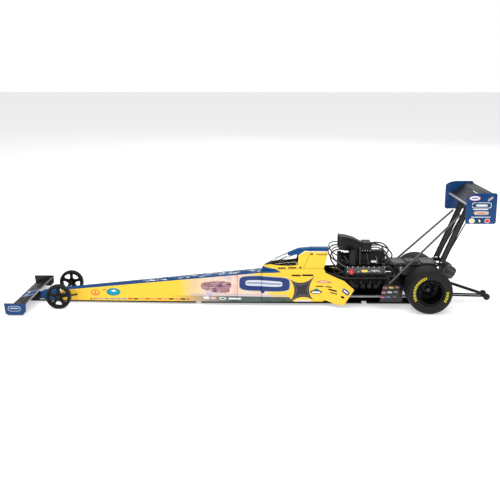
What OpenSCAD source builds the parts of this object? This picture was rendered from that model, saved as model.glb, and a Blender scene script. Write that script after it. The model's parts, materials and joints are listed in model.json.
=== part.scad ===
// Drag racing car, display model of a long rear-engined dragster at 1:24.
// +X runs to the nose, +Y to the car's left, +Z up. The origin is on the floor,
// under the middle of the model's box.

/* [Overall] */
// Distance between the front and rear axles
wheelbase = 317.5; // [280:0.5:390]
// Front wing's leading edge ahead of the front axle
front_overhang = 40.6; // [38:0.1:50]
// Rear end of the wheelie wheels behind the rear axle
rear_overhang = 59.1; // [54:0.1:72]
// Top of the rear wing's endplates above the floor
overall_height = 104.5; // [92:0.1:126]

/* [Body] */
// Nose tip ahead of the front axle
nose_reach = 22; // [18:0.1:26]
// Body width over the front axle
nose_w = 11; // [9:0.1:13]
// Body width at the cockpit
body_w = 25; // [22:0.1:29]
// Height of the body's top over the front axle
nose_h = 12.4; // [11.5:0.1:15]
// Height of the body's top at the front of the canopy
scuttle_h = 29.7; // [27:0.1:33]
// Height of the body's underside
floor_h = 2.2; // [1.9:0.1:3]
// Thickness of the body's walls round the cockpit
body_wall = 1.0; // [0.8:0.1:1.4]
// Gap between neighbouring body panels
panel_gap = 0.3; // [0.1:0.05:0.4]
// Thickness of the pan under the body
pan_t = 1.0; // [0.8:0.1:1.2]

/* [Cockpit] */
// Rear edge of the cowl ahead of the rear axle
cowl_ahead = 83.5; // [80:0.1:92]
// Length of canopy and cowl together
canopy_len = 58.5; // [54:0.5:66]
// Height of the roof
roof_h = 50.5; // [47:0.1:56]
// Thickness of the canopy's shell
canopy_wall = 0.9; // [0.7:0.1:1.2]

/* [Front wheels] */
// Distance between the middles of the front tyres
front_track = 41.7; // [38:0.1:48]
// Diameter of a front tyre
front_tyre_d = 21.8; // [20:0.1:24]
// Width of a front tyre
front_tyre_w = 4.0; // [3.4:0.1:4.6]
// Width of the rubber outside the front rim
front_tyre_t = 2.1; // [1.6:0.1:2.6]
// Diameter of the stub axles
stub_d = 2.0; // [1.6:0.1:2.4]

/* [Rear wheels] */
// Diameter of a rear tyre
rear_tyre_d = 38.4; // [36:0.1:42]
// Width of a rear tyre
rear_tyre_w = 21.9; // [19:0.1:24]
// Distance from the middle of the car to a rear tyre's inner face
rear_tyre_in = 11.6; // [11.4:0.1:13]
// Diameter of the rear rims outside
rear_rim_d = 20.8; // [18:0.1:24]
// Diameter of the rear axle
axle_d = 3.6; // [3:0.1:4.4]
// Radial running clearance of every turning shaft
run_fit = 0.06; // [0.03:0.01:0.09]

/* [Engine] */
// Middle of the engine ahead of the rear axle
engine_ahead = 52.5; // [51:0.1:56]
// Length of the cylinder heads
head_len = 36; // [32:0.1:40]
// Height of the crankshaft
crank_h = 14; // [12:0.1:15]
// Height of the supercharger's underside
blower_h = 37; // [35:0.1:40]
// Top of the injector hat
hat_top = 61.4; // [58:0.1:66]

/* [Rear wing] */
// Distance over the endplates' outer faces
wing_span = 64; // [56:0.1:76]
// Chord of the wing with its flaps
wing_chord = 23; // [20:0.1:28]
// Front edge of the endplates behind the rear axle
wing_back = 25.3; // [22:0.1:30]
// Thickness of a rear endplate
endplate_t = 1.0; // [0.8:0.1:1.4]

/* [Front wing] */
// Distance over the front endplates' outer faces
front_wing_span = 80; // [70:0.1:95]
// Chord of the front wing
front_wing_chord = 15; // [13:0.1:17]

/* [Mounts] */
// Bore for the two display base screws
mount_bore_d = 2.5; // [2:0.1:3]
// Depth of those bores
mount_depth = 6; // [4:0.5:7]
// Front screw behind the front axle
mount_front_back = 120; // [90:1:125]
// Rear screw ahead of the rear axle
mount_rear_ahead = 52; // [45:1:60]

/* [Hidden] */
$fn = 48;

// Where the anchors lie along the car
overall_len = front_overhang + wheelbase + rear_overhang;
front_x = overall_len/2 - front_overhang;
rear_x = front_x - wheelbase;
cowl_x = rear_x + cowl_ahead;
canopy_x = cowl_x + canopy_len;
engine_x = rear_x + engine_ahead;
front_axle_z = front_tyre_d/2;
rear_axle_z = rear_tyre_d/2;

// ---------- shared shapes ----------

// Round rod from a to b
module rod(a, b, r) {
    d = b - a;
    translate(a) rotate([0, acos(d.z/norm(d)), atan2(d.y, d.x)]) cylinder(h=norm(d), r=r, $fn=24);
}

// Box given by its lowest and highest corners
module block(lo, hi) {
    translate(lo) cube(hi - lo);
}

// The same thing on the left and on the right
module both_sides() {
    children();
    mirror([0, 1, 0]) children();
}

// Plate of constant thickness along Y from an outline in X and Z
module side_plate(points, y, t) {
    translate([0, y + t, 0]) rotate([90, 0, 0]) linear_extrude(t) polygon(points);
}

// Skin through equal rings of points, closed at both ends
module loft(rings) {
    n = len(rings[0]);
    m = len(rings);
    polyhedron(
        points = [for (ring = rings) each ring],
        faces = [
            [for (k = [0:n - 1]) k],
            for (j = [0:m - 2]) for (k = [0:n - 1]) each [
                [j*n + k, (j + 1)*n + k, j*n + (k + 1)%n],
                [j*n + (k + 1)%n, (j + 1)*n + k, (j + 1)*n + (k + 1)%n]],
            [for (k = [n - 1:-1:0]) (m - 1)*n + k]]);
}

// Half of a body section: crowned top, rounded shoulders, flat bottom
function half_section(wt, wb, zt, zb, rt, rb, crown) = concat(
    [[0, zt + crown], [0.55*(wt - rt), zt + 0.7*crown]],
    [for (a = [90:-22.5:0]) [wt - rt + rt*cos(a), zt - rt + rt*sin(a)]],
    [for (a = [0:-30:-90]) [wb - rb + rb*cos(a), zb + rb + rb*sin(a)]],
    [[0, zb]]);

// Whole section as a ring of points at one place along the car
function section(x, wt, wb, zt, zb, rt, rb, crown) =
    let (h = half_section(wt, wb, zt, zb, rt, rb, crown), n = len(h))
    concat([for (p = h) [x, p[0], p[1]]], [for (k = [n - 2:-1:1]) [x, -h[k][0], h[k][1]]]);

function unit(v) = v/norm(v);

// Smooth curve through chosen points
function curve(p, steps=4) = let (n = len(p), at = function(i) p[max(0, min(n - 1, i))])
    concat([for (i = [0:n - 2]) for (j = [0:steps - 1])
        let (t = j/steps, a = at(i - 1), b = at(i), c = at(i + 1), d = at(i + 2))
        0.5*(2*b + (c - a)*t + (2*a - 5*b + 4*c - d)*t^2 + (3*b - 3*c + d - a)*t^3)], [p[n - 1]]);

// Round tube along a path; lean is any direction that the path never follows.
// With a wall, the last stretch of the path is bored out.
module tube(path, r, sides=10, lean=[0, 1, 0], wall=0) {
    n = len(path);
    rings = [for (i = [0:n - 1])
        let (t = unit((i < n - 1 ? unit(path[i + 1] - path[i]) : [0, 0, 0])
                + (i > 0 ? unit(path[i] - path[i - 1]) : [0, 0, 0])),
            a = unit(cross(t, lean)), b = cross(t, a))
        [for (k = [0:sides - 1]) cos(360*k/sides)*a + sin(360*k/sides)*b]];
    function ring(i, size) = [for (q = rings[i]) path[i] + size*q];
    loft(concat([for (i = [0:n - 1]) ring(i, r)],
        wall > 0 ? [ring(n - 1, r - wall), ring(n - 2, r - wall)] : []));
}

// Outline of a wing's section: its front edge at the origin, its chord along -X
function wing_outline(chord, thick, camber) = let (steps = 8,
        line = function(u) 4*camber*u*(1 - u), half = function(u) thick*(1.6*sqrt(u)*(1 - u) + 0.06))
    concat([for (i = [0:steps]) let (u = i/steps) [-chord*u, half(u) - line(u)]],
        [for (i = [steps:-1:0]) let (u = i/steps) [-chord*u, -half(u) - line(u)]]);

// Plane of a wing: its front edge at x and z, tipped up to the rear
module wing_plane(x, z, tip, chord, thick, camber, half)
    translate([x, 0, z]) rotate([0, tip, 0]) side_plate(wing_outline(chord, thick, camber), -half, 2*half);

// ---------- body ----------

taper_len = front_x - canopy_x;
body_seam_back = 154;

// Share of the way from the front axle to the canopy
function taper(x) = (front_x - x)/taper_len;
function body_top(x) = nose_h + (scuttle_h - nose_h)*taper(x);
function body_half(x) = (nose_w + (body_w - 1 - nose_w)*taper(x))/2;
function top_half(x) = body_half(x) - 1 - 3.6*max(0, taper(x));
function body_floor(x) = floor_h + 1.2*max(0, taper(x))^2;

// Section of the long tapering body at x
function body_ring(x) = section(x, top_half(x), body_half(x), body_top(x) - 0.4, body_floor(x),
    1.3, 1.0, 0.5);

nose_end_x = front_x - body_seam_back;
mount_x_front = front_x - mount_front_back;
mount_x_rear = rear_x + mount_rear_ahead;

// Blind bore for a display base's screw, drilled up from a height
module mount_bore(x, z)
    translate([x, 0, z - 1]) cylinder(h=mount_depth + 1, r=mount_bore_d/2);

module nose_body() color("gold") {
    // The rounded tip: distance behind the tip, and share of the full section
    tip = [[0, 0.45], [0.7, 0.66], [2, 0.82], [5, 0.93], [9, 0.98]];
    tip_x = front_x + nose_reach;
    tip_mid = (body_top(front_x) + floor_h)/2 - 0.9;
    difference() {
        loft(concat(
            [for (p = tip) [for (q = body_ring(tip_x - p[0]))
                [q.x, q.y*p[1], tip_mid + (q.z - tip_mid)*p[1]]]],
            [for (x = [front_x, (front_x + nose_end_x)/2, nose_end_x]) body_ring(x)]));
        mount_bore(mount_x_front, body_floor(mount_x_front));
    }
}

module mid_body() color("gold")
    loft([for (x = [nose_end_x - panel_gap, canopy_x]) body_ring(x)]);

// ---------- cockpit ----------

// Thin shell over a grid of outer and inner points, made only where the mask is 1.
// Rows run to the rear, and the outer side faces away where rows and columns cross.
module masked_shell(outer, inner, mask) {
    n = len(outer[0]);
    total = n*len(outer);
    rows = len(mask);
    cols = len(mask[0]);
    function solid(i, k) = i >= 0 && i < rows && k >= 0 && k < cols && mask[i][k] == 1;
    function wall(p, q) = [[q, p, p + total], [q, p + total, q + total]];
    polyhedron(points = concat([for (r = outer) each r], [for (r = inner) each r]),
        faces = [for (i = [0:rows - 1]) for (k = [0:cols - 1]) if (solid(i, k))
            let (a = i*n + k, b = a + 1, c = b + n, d = a + n) each concat(
                [[a, b, c], [a, c, d],
                    [a + total, c + total, b + total], [a + total, d + total, c + total]],
                solid(i - 1, k) ? [] : wall(a, b), solid(i, k + 1) ? [] : wall(b, c),
                solid(i + 1, k) ? [] : wall(c, d), solid(i, k - 1) ? [] : wall(d, a))]);
}

// Distances here are behind the canopy's front
seat_seam = 36;
// Height of the seam between tub and canopy
function sill(d) = scuttle_h + lookup(d, [[0, 0.7], [12, 2.4], [seat_seam, 4.8]]);
// Half width of the tub's top edge
function tub_half(d) = lookup(d, [[0, top_half(canopy_x)], [12, body_w/2 - 1.9],
    [40, body_w/2 - 0.4], [canopy_len, body_w/2]]);
// Half width of the canopy's foot, pointed at the front
function foot_half(d) = min(tub_half(d), lookup(d, [[0, 1.6], [2.5, 5], [6, 8], [12, 10.6], [40, 14]]));

// Tub rows: x, top half width, foot half width, high edge, low edge
tub_floor = body_floor(canopy_x);
function tub_row(d) = [canopy_x - d, tub_half(d), body_w/2 - 0.5*(1 - d/canopy_len),
    sill(d) - panel_gap, tub_floor + 0.012*d, d];
tail_d = canopy_len - 4.6;
tub_rows = concat([for (d = [0.3, 3, 6, 12, 24, seat_seam, tail_d]) tub_row(d)],
    [[cowl_x + 3, body_w/2 + 0.3, body_w/2 + 0.8, 30.6, 4.8, canopy_len],
        [cowl_x - 6, body_w/2 + 4, body_w/2 + 4.5, 27.4, 2.4, canopy_len],
        [cowl_x - 12.5, body_w/2 + 5.5, body_w/2 + 5.9, 25, 1.7, canopy_len],
        [cowl_x - 20.9, body_w/2 + 7.4, body_w/2 + 7.5, 17.9, 16.9, canopy_len]]);

// Half of the tub's section, from the inner edge of its flange down to the middle of the floor
function tub_half_points(r, w) = let (zm = (r[3] + r[4])/2, flange = min(foot_half(r[5]), r[1] - 1.6))
    [[flange, r[3] - w], [r[1] - w, r[3] - w], [(r[1] + r[2])/2 + 0.3 - w, zm],
        [r[2] - w, r[4] + min(1.2, (zm - r[4])/2)], [r[2] - 1.2 - w/2, r[4] + w], [0, r[4] + w]];
function tub_points(r, w) = let (h = tub_half_points(r, w))
    concat([for (p = h) [r[0], -p[0], p[1]]], [for (k = [4:-1:0]) [r[0], h[k][0], h[k][1]]]);

module cockpit_body() color("gold") {
    full = [1, 1, 1, 1, 1, 1, 1, 1, 1, 1];
    flanks = [0, 1, 1, 0, 0, 0, 0, 1, 1, 0];
    rows = len(tub_rows);
    masked_shell([for (r = tub_rows) tub_points(r, 0)], [for (r = tub_rows) tub_points(r, body_wall)],
        [for (i = [0:rows - 2]) i < rows - 5 ? full : flanks]);
}

// Canopy and cowl rows: how far back at the foot and at the roof
arch_rows = [[0.3, 0.3], [1.2, 1.2], [2.8, 2.8], [8, 8], [13, 13], [18.5, 18.5], [25, 23],
    [31, 32.5], [seat_seam, 43.5]];
cowl_rows = [[seat_seam + panel_gap, 43.5 + panel_gap], [46, 50.5], [tail_d, canopy_len]];
arch_half_cols = 8;
// Height of the roof line along its middle
function roof(d) = lookup(d, [[0, scuttle_h + 1.6], [2.8, scuttle_h + 5.3], [23, roof_h - 5.2],
    [27, roof_h - 3.2], [33, roof_h - 1], [39, roof_h - 0.2], [44, roof_h]]);
// Lower edge of the glass as a share of the arch's height
window_sill_h = 36.5;

function arch_angle(r, k) = let (base = sill(r[0]), top = roof(r[1]),
        t1 = asin(min(0.93, max(0.2, (window_sill_h - 0.2 - base)/(top - base)))))
    k == 0 ? 0 : t1 + (90 - t1)*(k - 1)/(arch_half_cols - 1);

function arch_point(r, k, w) = let (left = k <= arch_half_cols, kk = left ? k : 2*arch_half_cols - k,
        t = arch_angle(r, kk), f = sin(t), base = sill(r[0]), d = r[0] + (r[1] - r[0])*f,
        y = foot_half(r[0])*pow(cos(t), 0.85) - w*cos(t))
    [canopy_x - d, (left ? 1 : -1)*max(0, y), base + (roof(r[1]) - base)*f - w*f];

function arch_grid(rows, w) = [for (r = rows) [for (k = [0:2*arch_half_cols]) arch_point(r, k, w)]];

// 1 where a cell of the canopy is glass: the whole front, then the side windows
function glazed(i, k) = let (kk = min(k, 2*arch_half_cols - 1 - k))
    kk >= 1 && ((i >= 2 && i <= 5) || (i == 6 && kk <= 4)) ? 1 : 0;

module canopy() color("gold")
    masked_shell(arch_grid(arch_rows, 0), arch_grid(arch_rows, canopy_wall),
        [for (i = [0:len(arch_rows) - 2]) [for (k = [0:2*arch_half_cols - 1]) 1 - glazed(i, k)]]);

module windscreen() color([0.8, 0.85, 0.9, 0.4])
    masked_shell(arch_grid(arch_rows, 0.1), arch_grid(arch_rows, canopy_wall - 0.1),
        [for (i = [0:len(arch_rows) - 2]) [for (k = [0:2*arch_half_cols - 1]) glazed(i, k)]]);

module rear_cowl() color("gold")
    masked_shell(arch_grid(cowl_rows, 0), arch_grid(cowl_rows, canopy_wall),
        [for (i = [0:1]) [for (k = [0:2*arch_half_cols - 1]) 1]]);

seat_x = cowl_x + 9;
seat_half = 8;

module cockpit_seat() color("dimgray") {
    floor_z = tub_floor + 0.012*canopy_len + body_wall;
    difference() {
        block([seat_x, -seat_half, floor_z], [seat_x + 24, seat_half, 22]);
        block([seat_x + 4, -seat_half + 1.2, floor_z + 2], [seat_x + 25, seat_half - 1.2, 30]);
    }
    block([seat_x, -4.5, 22], [seat_x + 3, 4.5, 38]);
}

module steering_yoke() color("dimgray") {
    dash_x = canopy_x - 13;
    block([dash_x, -8.5, 18], [dash_x + 1.6, 8.5, sill(10) - 1]);
    rod([dash_x + 0.8, 0, 24], [dash_x - 6.5, 0, 26.8], 0.6);
    rod([dash_x - 7, -4.5, 27], [dash_x - 7, 4.5, 27], 0.9);
}

hoop_x = cowl_x + 5.2;

hoop_half = body_w/2 - body_wall - 1.4;

module roll_cage() color("dimgray")
    tube([[hoop_x, hoop_half, 6], [hoop_x, hoop_half - 0.6, 32], [hoop_x, hoop_half - 2.6, 40],
        [hoop_x, 5, 46], [hoop_x, 3.5, 46.8], [hoop_x, -3.5, 46.8], [hoop_x, -5, 46],
        [hoop_x, 2.6 - hoop_half, 40], [hoop_x, 0.6 - hoop_half, 32], [hoop_x, -hoop_half, 6]],
        0.8, 10, [1, 0, 0]);

// ---------- pan and frame ----------

pan_rear_x = rear_x - 20;
rail_y = 9.5;
low_rail_z = 8.5;
low_rail_r = 1.1;
// The upper rails pass outside the engine, then run level to the wing's feet
high_rail_out = 18.5;
high_rail_z = 36.5;

// Top of the pan, just under the body, and its half width
function pan_top(x) = body_floor(max(x, canopy_x)) - 0.15;
function pan_half(x) = body_half(max(x, canopy_x)) - 0.8;

// One length of the pan, as flat stretches between places along the car
module pan_length(places)
    loft([for (x = places)
        let (half = min(pan_half(x), rear_tyre_in - 0.6), z = pan_top(x))
        [[x, half, z], [x, half, z - pan_t], [x, -half, z - pan_t], [x, -half, z]]]);

// The pan is in three lengths that stop either side of the two screws
module belly_pan() color("dimgray") {
    screw_room = mount_bore_d/2 + 1;
    pan_length([front_x + 6, mount_x_front + screw_room]);
    pan_length([mount_x_front - screw_room, canopy_x, mount_x_rear + screw_room]);
    pan_length([mount_x_rear - screw_room, pan_rear_x]);
}

module lower_frame_rails() color("dimgray")
    both_sides() rod([cowl_x + 4, rail_y, low_rail_z], [rear_x - 22, rail_y, low_rail_z], low_rail_r);

module upper_frame_rails() color("dimgray")
    both_sides() tube([[cowl_x + 4, rail_y, 30], [engine_front - 1, high_rail_out, 27.9],
        [engine_rear - 1, high_rail_out, 27.9], [rear_x + 25, rail_y - 0.5, high_rail_z],
        [rear_x - 18, rail_y - 0.5, high_rail_z]], 1.0, 10, [0, 0, 1]);

// ---------- engine ----------

block_half = 7.5;
block_len = head_len + 1;
engine_front = engine_x + block_len/2;
engine_rear = engine_x - block_len/2;
bank_angle = 45;
head_w = 8;
head_h = 8;
cover_h = 4.5;

// Places a bank of cylinders: local X along the car, local Z out along the cylinders
module bank() translate([engine_x, 0, crank_h + 3]) rotate([-bank_angle, 0, 0]) children();

deck_d = 13.5;
sump_z = 3.4;

module engine_block() color("dimgray") {
    // Crankcase with its sump, then the two banks
    difference() {
        block([engine_rear, -block_half, sump_z], [engine_front, block_half, crank_h + 9]);
        mount_bore(mount_x_rear, sump_z);
    }
    both_sides() bank() block([-block_len/2, -head_w/2, 0], [block_len/2, head_w/2, deck_d]);
    block([engine_rear + 2, -4.6, crank_h + 9], [engine_front - 2, 4.6, blower_h - 0.02]);
}

module cylinder_heads() color("gray")
    both_sides() bank()
        block([-head_len/2, -head_w/2, deck_d + 0.02], [head_len/2, head_w/2, deck_d + head_h]);

module valve_covers() color("silver")
    both_sides() bank()
        block([-head_len/2 + 1, -head_w/2 + 1, deck_d + head_h + 0.02],
            [head_len/2 - 1, head_w/2 - 1, deck_d + head_h + cover_h]);

blower_len = 27;
blower_half = 7;
blower_top = blower_h + 10.9;
blower_x = engine_x - 4.5;

// Rotor case with chamfered top, as an outline in Y and Z
function case_outline(half) = [[-half, blower_h], [half, blower_h], [half, blower_top - 4.5],
    [half - 3.5, blower_top], [3.5 - half, blower_top], [-half, blower_top - 4.5]];

// Slice of that case along the car
module case_slice(rear, front, half)
    translate([rear, 0, 0]) rotate([90, 0, 90]) linear_extrude(front - rear) polygon(case_outline(half));

module supercharger() color("dimgray") {
    rear = blower_x - blower_len/2;
    case_slice(rear, rear + blower_len, blower_half - 0.7);
    for (x = [0:8]) case_slice(rear + x*3.15, rear + x*3.15 + (x%8 == 0 ? 1.8 : 1.1), blower_half);
}

// Places along the intake scoop: x ahead of its rear box, half width, underside and top
hat_seat = blower_top + 0.02;
hat_box_x = engine_x - 6;
scoop = [[28.2, 8.4, hat_seat + 1.6, hat_top], [22, 7.4, hat_seat + 0.6, hat_top - 0.5],
    [15, 6.8, hat_seat, hat_top - 2.4], [8.6, 6.4, hat_seat, hat_top - 5.8],
    [7.6, 6.4, hat_seat, hat_top - 6.2]];
function scoop_ring(q, wall) = section(hat_box_x + q[0], q[1] - wall, q[1] - wall, q[3] - wall,
    q[2] + wall, 2.6 - wall, 1.8 - wall, 0.3);

module injector_hat() color("dimgray") {
    loft(concat([scoop_ring(scoop[2], 0.9), scoop_ring(scoop[1], 0.9), scoop_ring(scoop[0], 0.7)],
        [for (q = scoop) scoop_ring(q, 0)]));
    block([hat_box_x, -6.4, hat_seat], [hat_box_x + 7.58, 6.4, hat_top - 5.6]);
}

drive_x = engine_front + 1;

// Pulley with its end to the front
module pulley(x, z, r, depth) translate([x, 0, z]) rotate([0, 90, 0]) cylinder(h=depth, r=r);

module blower_drive() color("dimgray") {
    front = engine_front + 4.6;
    top_z = blower_h + 5.4;
    pulley(engine_front + 0.02, crank_h, 2.2, 4.6);
    pulley(engine_front + 1, crank_h, 4.6, 3.4);
    pulley(blower_x + blower_len/2 + 0.02, top_z, 3.1, front - blower_x - blower_len/2 - 3.6);
    pulley(engine_front + 1, top_z, 4.0, 3.4);
    // The toothed belt round both pulleys
    translate([engine_front + 1.2, 0, 0]) rotate([90, 0, 90]) linear_extrude(3) difference() {
        hull() {
            translate([0, crank_h]) circle(5.1);
            translate([0, top_z]) circle(4.5);
        }
        hull() {
            translate([0, crank_h]) circle(4.5);
            translate([0, top_z]) circle(3.9);
        }
    }
}

can_r = 3.8;

module catch_can() color("dimgray") {
    x = engine_x + 11;
    translate([x, 12.6, 38]) cylinder(h=12.4, r=can_r);
    translate([x, 12.6, 50.3]) cylinder(h=1.2, r=can_r - 1.1);
}

cover_top = deck_d + head_h + cover_h;

module breather_caps() color("crimson")
    bank() translate([13, 3.4, cover_top + 2.4]) {
        sphere(2.35);
        translate([0, -0.9, -2.38]) cylinder(h=2.4, r=0.6);
    }

pipe_r = 1.9;
pipe_step = 8.6;
// The pipes lean together towards their ends
pipe_lean = 3.4;

module exhaust_headers() color("dimgray")
    both_sides() for (k = [-1.5:1.5])
        tube(curve([for (q = [[0, 15.3, 25.9], [0.1, 16.6, 24.4], [0.4, 18, 22.2], [0.8, 19.4, 21.2],
                [1, 20.8, 21.2]])
            [engine_x + k*(pipe_step - pipe_lean*q[0]), q[1], q[2]]], 3), pipe_r, 12, [1, 0, 1], 0.45);

// ---------- rear end ----------

clutch_r = 8;
housing_half = 10.6;
housing_r = 7.5;

module clutch_housing() color("dimgray") {
    bell_x = engine_rear - 12;
    pulley(bell_x, crank_h + 2, clutch_r, 11.98);
    pulley(bell_x - 2, crank_h + 2, clutch_r - 2.4, 3);
    pulley(rear_x + housing_r + 0.02, rear_axle_z - 1.2, 2.4, bell_x - rear_x - housing_r);
}

module rear_axle_housing() color("dimgray")
    difference() {
        union() {
            translate([rear_x, housing_half - 3, rear_axle_z]) rotate([90, 0, 0])
                cylinder(h=2*housing_half - 6, r=housing_r);
            translate([rear_x, housing_half, rear_axle_z]) rotate([90, 0, 0])
                cylinder(h=2*housing_half, r=axle_d/2 + 2);
        }
        translate([rear_x, housing_half + 1, rear_axle_z]) rotate([90, 0, 0])
            cylinder(h=2*housing_half + 2, r=axle_d/2 + run_fit);
    }

// The deck lies on the upper rails
deck_z = high_rail_z + 1.05;

module rear_deck() color("gray") {
    block([rear_x + 18, -9, deck_z], [rear_x + 31, 9, deck_z + 1.2]);
    block([rear_x - 10.5, -9, deck_z], [rear_x + 3, 9, deck_z + 1.2]);
    // Tank between the two plates, standing on the axle housing
    block([rear_x - 5, -6.5, rear_axle_z + housing_r + 0.05], [rear_x + 18.5, 6.5, deck_z - 0.02]);
    block([rear_x + 5, -5, deck_z - 1], [rear_x + 16, 5, deck_z + 1.8]);
}

module rear_side_panels() color("dimgray")
    both_sides() {
        side_plate([[rear_x + 40.5, 7], [rear_x + 37.5, 22], [rear_x + 21, 22], [rear_x + 21, 7]], 19, 1);
        for (x = [25, 35]) block([rear_x + x, rail_y + low_rail_r + 0.05, 7.8], [rear_x + x + 2, 19.2, 9.2]);
    }

wing_lead_x = rear_x - wing_back;
wing_half = wing_span/2;

// Front edge and tilt of the main plane
main_z = overall_height - 11.6;
main_tip = 33;

module rear_wing_main() color("dimgray")
    wing_plane(wing_lead_x - 2.6, main_z, main_tip, wing_chord - 8.6, 0.8, 0.9, wing_half - endplate_t - 0.02);

module rear_wing_flaps() color("dimgray")
    for (k = [0, 1]) wing_plane(wing_lead_x - 14.6 - 5.2*k, overall_height - 3.2 + 0.9*k, 20 - 12*k, 4.9,
        0.45, 0.3, wing_half - endplate_t - 0.02);

module rear_wing_endplates() color("royalblue")
    both_sides() {
        // The front top corner falls in a long low curve
        fall = [11, 4.6];
        side_plate(concat([[wing_lead_x - 1.2, overall_height - 25.7], [wing_lead_x, overall_height - 24.5]],
            [for (a = [0:15:90]) [wing_lead_x - fall.x + fall.x*cos(a),
                overall_height - fall.y + fall.y*sin(a)]],
            [[wing_lead_x - 23.8, overall_height], [wing_lead_x - 25, overall_height - 1.2],
            [wing_lead_x - 25, overall_height - 24.5], [wing_lead_x - 23.8, overall_height - 25.7]]),
            wing_half - endplate_t, endplate_t);
    }

strut_y = 9;

// A point on a strut: how far up it, and how far behind its front tube
function strut_at(up, back) = [rear_x - 11.6 - back - 0.4*up, strut_y, deck_z + 0.5 + up];
strut_up = main_z - deck_z + 1.2;

module rear_wing_struts() color("dimgray")
    both_sides() {
        // Foot on the rail, two tubes, webs between them, and the saddle under the plane
        block([rear_x - 17.5, strut_y - 1.2, deck_z], [rear_x - 10.7, strut_y + 0.9, deck_z + 1.2]);
        rod(strut_at(0, 0), strut_at(strut_up - 1, 0), 0.75);
        rod(strut_at(0, 3.9), strut_at(strut_up - 1, 3.9), 0.85);
        side_plate([for (q = [[14.5, -0.2], [43, -0.2], [43, 4.1], [14.5, 4.1]])
            let (s = strut_at(q[0], q[1])) [s.x, s.z]], strut_y - 0.35, 0.7);
        side_plate([for (q = [[strut_up - 5, -1], [strut_up - 1.4, -1], [strut_up + 1.1, 5], [strut_up - 5, 5]])
            let (s = strut_at(q[0], q[1])) [s.x, s.z]], strut_y - 0.5, 1);
        rod(strut_at(13, 4.4), strut_at(39.5, 7), 0.45);
    }

module rear_wing_stays() color("gray")
    both_sides() {
        rod([rear_x + 32.5, 18.2, 22.6], [rear_x - 27.5, strut_y + 1.85, 82], 0.9);
    }

module parachute_packs() color("dimgray") {
    both_sides() translate([rear_x - 22, 6.3, 30.2]) rotate([0, -30, 0])
        block([-4.8, -4.8, -5.6], [4.8, 4.8, 5.6]);
    // Tray between the packs, back from the axle housing
    block([rear_x - 26, -2, 25.2], [rear_x - 5.3, 2, 27]);
}

wheelie_r = 2.9;
wheelie_x = rear_x - rear_overhang + wheelie_r;
wheelie_z = 7;
wheelie_pin_r = 0.8;
arm_y = 2.6;

module wheelie_bar() color("dimgray") {
    // Plate behind the axle housing, the tubes with their bosses, and the hoop
    block([rear_x - 17, -4.2, 5.5], [rear_x - 14.6, 4.2, 23]);
    block([rear_x - 14.8, -3, 17], [rear_x - housing_r - 0.05, 3, 21.4]);
    both_sides() {
        rod([rear_x - 16, arm_y, 21], [wheelie_x + 1, arm_y, wheelie_z + 0.9], 0.8);
        rod([rear_x - 16, arm_y, 7.6], [wheelie_x + 1, arm_y, wheelie_z - 0.3], 0.75);
        difference() {
            translate([wheelie_x, arm_y + 1, wheelie_z]) rotate([90, 0, 0]) cylinder(h=2, r=1.9);
            translate([wheelie_x, arm_y + 2, wheelie_z]) rotate([90, 0, 0])
                cylinder(h=4, r=wheelie_pin_r + run_fit);
        }
    }
    tube(curve([[rear_x - 16.5, 0, 22.4], [rear_x - 19.6, 0, 21], [rear_x - 21.4, 0, 16],
        [rear_x - 20, 0, 9.4], [rear_x - 16.5, 0, 6.6]], 3), 0.65);
}

module wheelie_wheels() color("dimgray") {
    translate([wheelie_x, 6, wheelie_z]) rotate([90, 0, 0]) cylinder(h=12, r=wheelie_pin_r);
    both_sides() translate([wheelie_x, 6, wheelie_z]) rotate([90, 0, 0]) cylinder(h=1.8, r=wheelie_r);
}

// ---------- front end ----------

front_wing_x = front_x + front_overhang;
front_wing_half = front_wing_span/2;
front_plate_t = 1.0;

module front_wing() color("dimgray")
    wing_plane(front_wing_x - 1.6, 5.1, 13, front_wing_chord, 0.8, 0.5, front_wing_half - front_plate_t - 0.02);

module front_wing_flap() color("silver")
    wing_plane(front_wing_x - 16.1, 9.4, 20, 3, 0.35, 0.1, front_wing_half - front_plate_t - 0.02);

module front_wing_endplates() color("steelblue")
    both_sides()
        side_plate([[front_wing_x, 11.1], [front_wing_x - 0.8, 2.2], [front_wing_x - 3.5, 0.9],
            [front_wing_x - 15.4, 0.9], [front_wing_x - 18.2, 4], [front_wing_x - 18.2, 11.1]],
            front_wing_half - front_plate_t, front_plate_t);

// Two cheeks from under the nose to under the plane
module front_wing_mount() color("dimgray")
    both_sides() side_plate([[front_x + 31, 0.9], [front_x + 31, 5.8], [front_x + 25.5, 7.6],
        [front_x + 22.6, 7.6], [front_x + 22.6, floor_h - 0.15], [front_x + 9, floor_h - 0.15],
        [front_x + 9, 0.9]], 2.4, 1);

knuckle_y = front_track/2 - front_tyre_w/2 - 0.6;
stub_end_y = front_track/2 + front_tyre_w/2 - 0.2;

module front_axle() color("dimgray") {
    both_sides() {
        rod([front_x, nose_w/2 + 0.15, front_axle_z - 2], [front_x, knuckle_y - 0.8, front_axle_z], 0.9);
        rod([front_x - 12, body_half(front_x - 12) + 0.25, 8], [front_x - 1, knuckle_y - 1, 9], 0.7);
        translate([front_x, knuckle_y, front_axle_z]) rotate([90, 0, 0]) cylinder(h=2, r=1.9);
        translate([front_x, stub_end_y, front_axle_z]) rotate([90, 0, 0])
            cylinder(h=stub_end_y - knuckle_y + 0.5, r=stub_d/2);
        translate([front_x, stub_end_y, front_axle_z]) rotate([90, 0, 0])
            cylinder(h=0.5, r=stub_d/2 + 0.7);
    }
}

rim_r = front_tyre_d/2 - front_tyre_t;
rim_w = front_tyre_w - 0.6;
hub_w = rim_w - 1;

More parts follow.
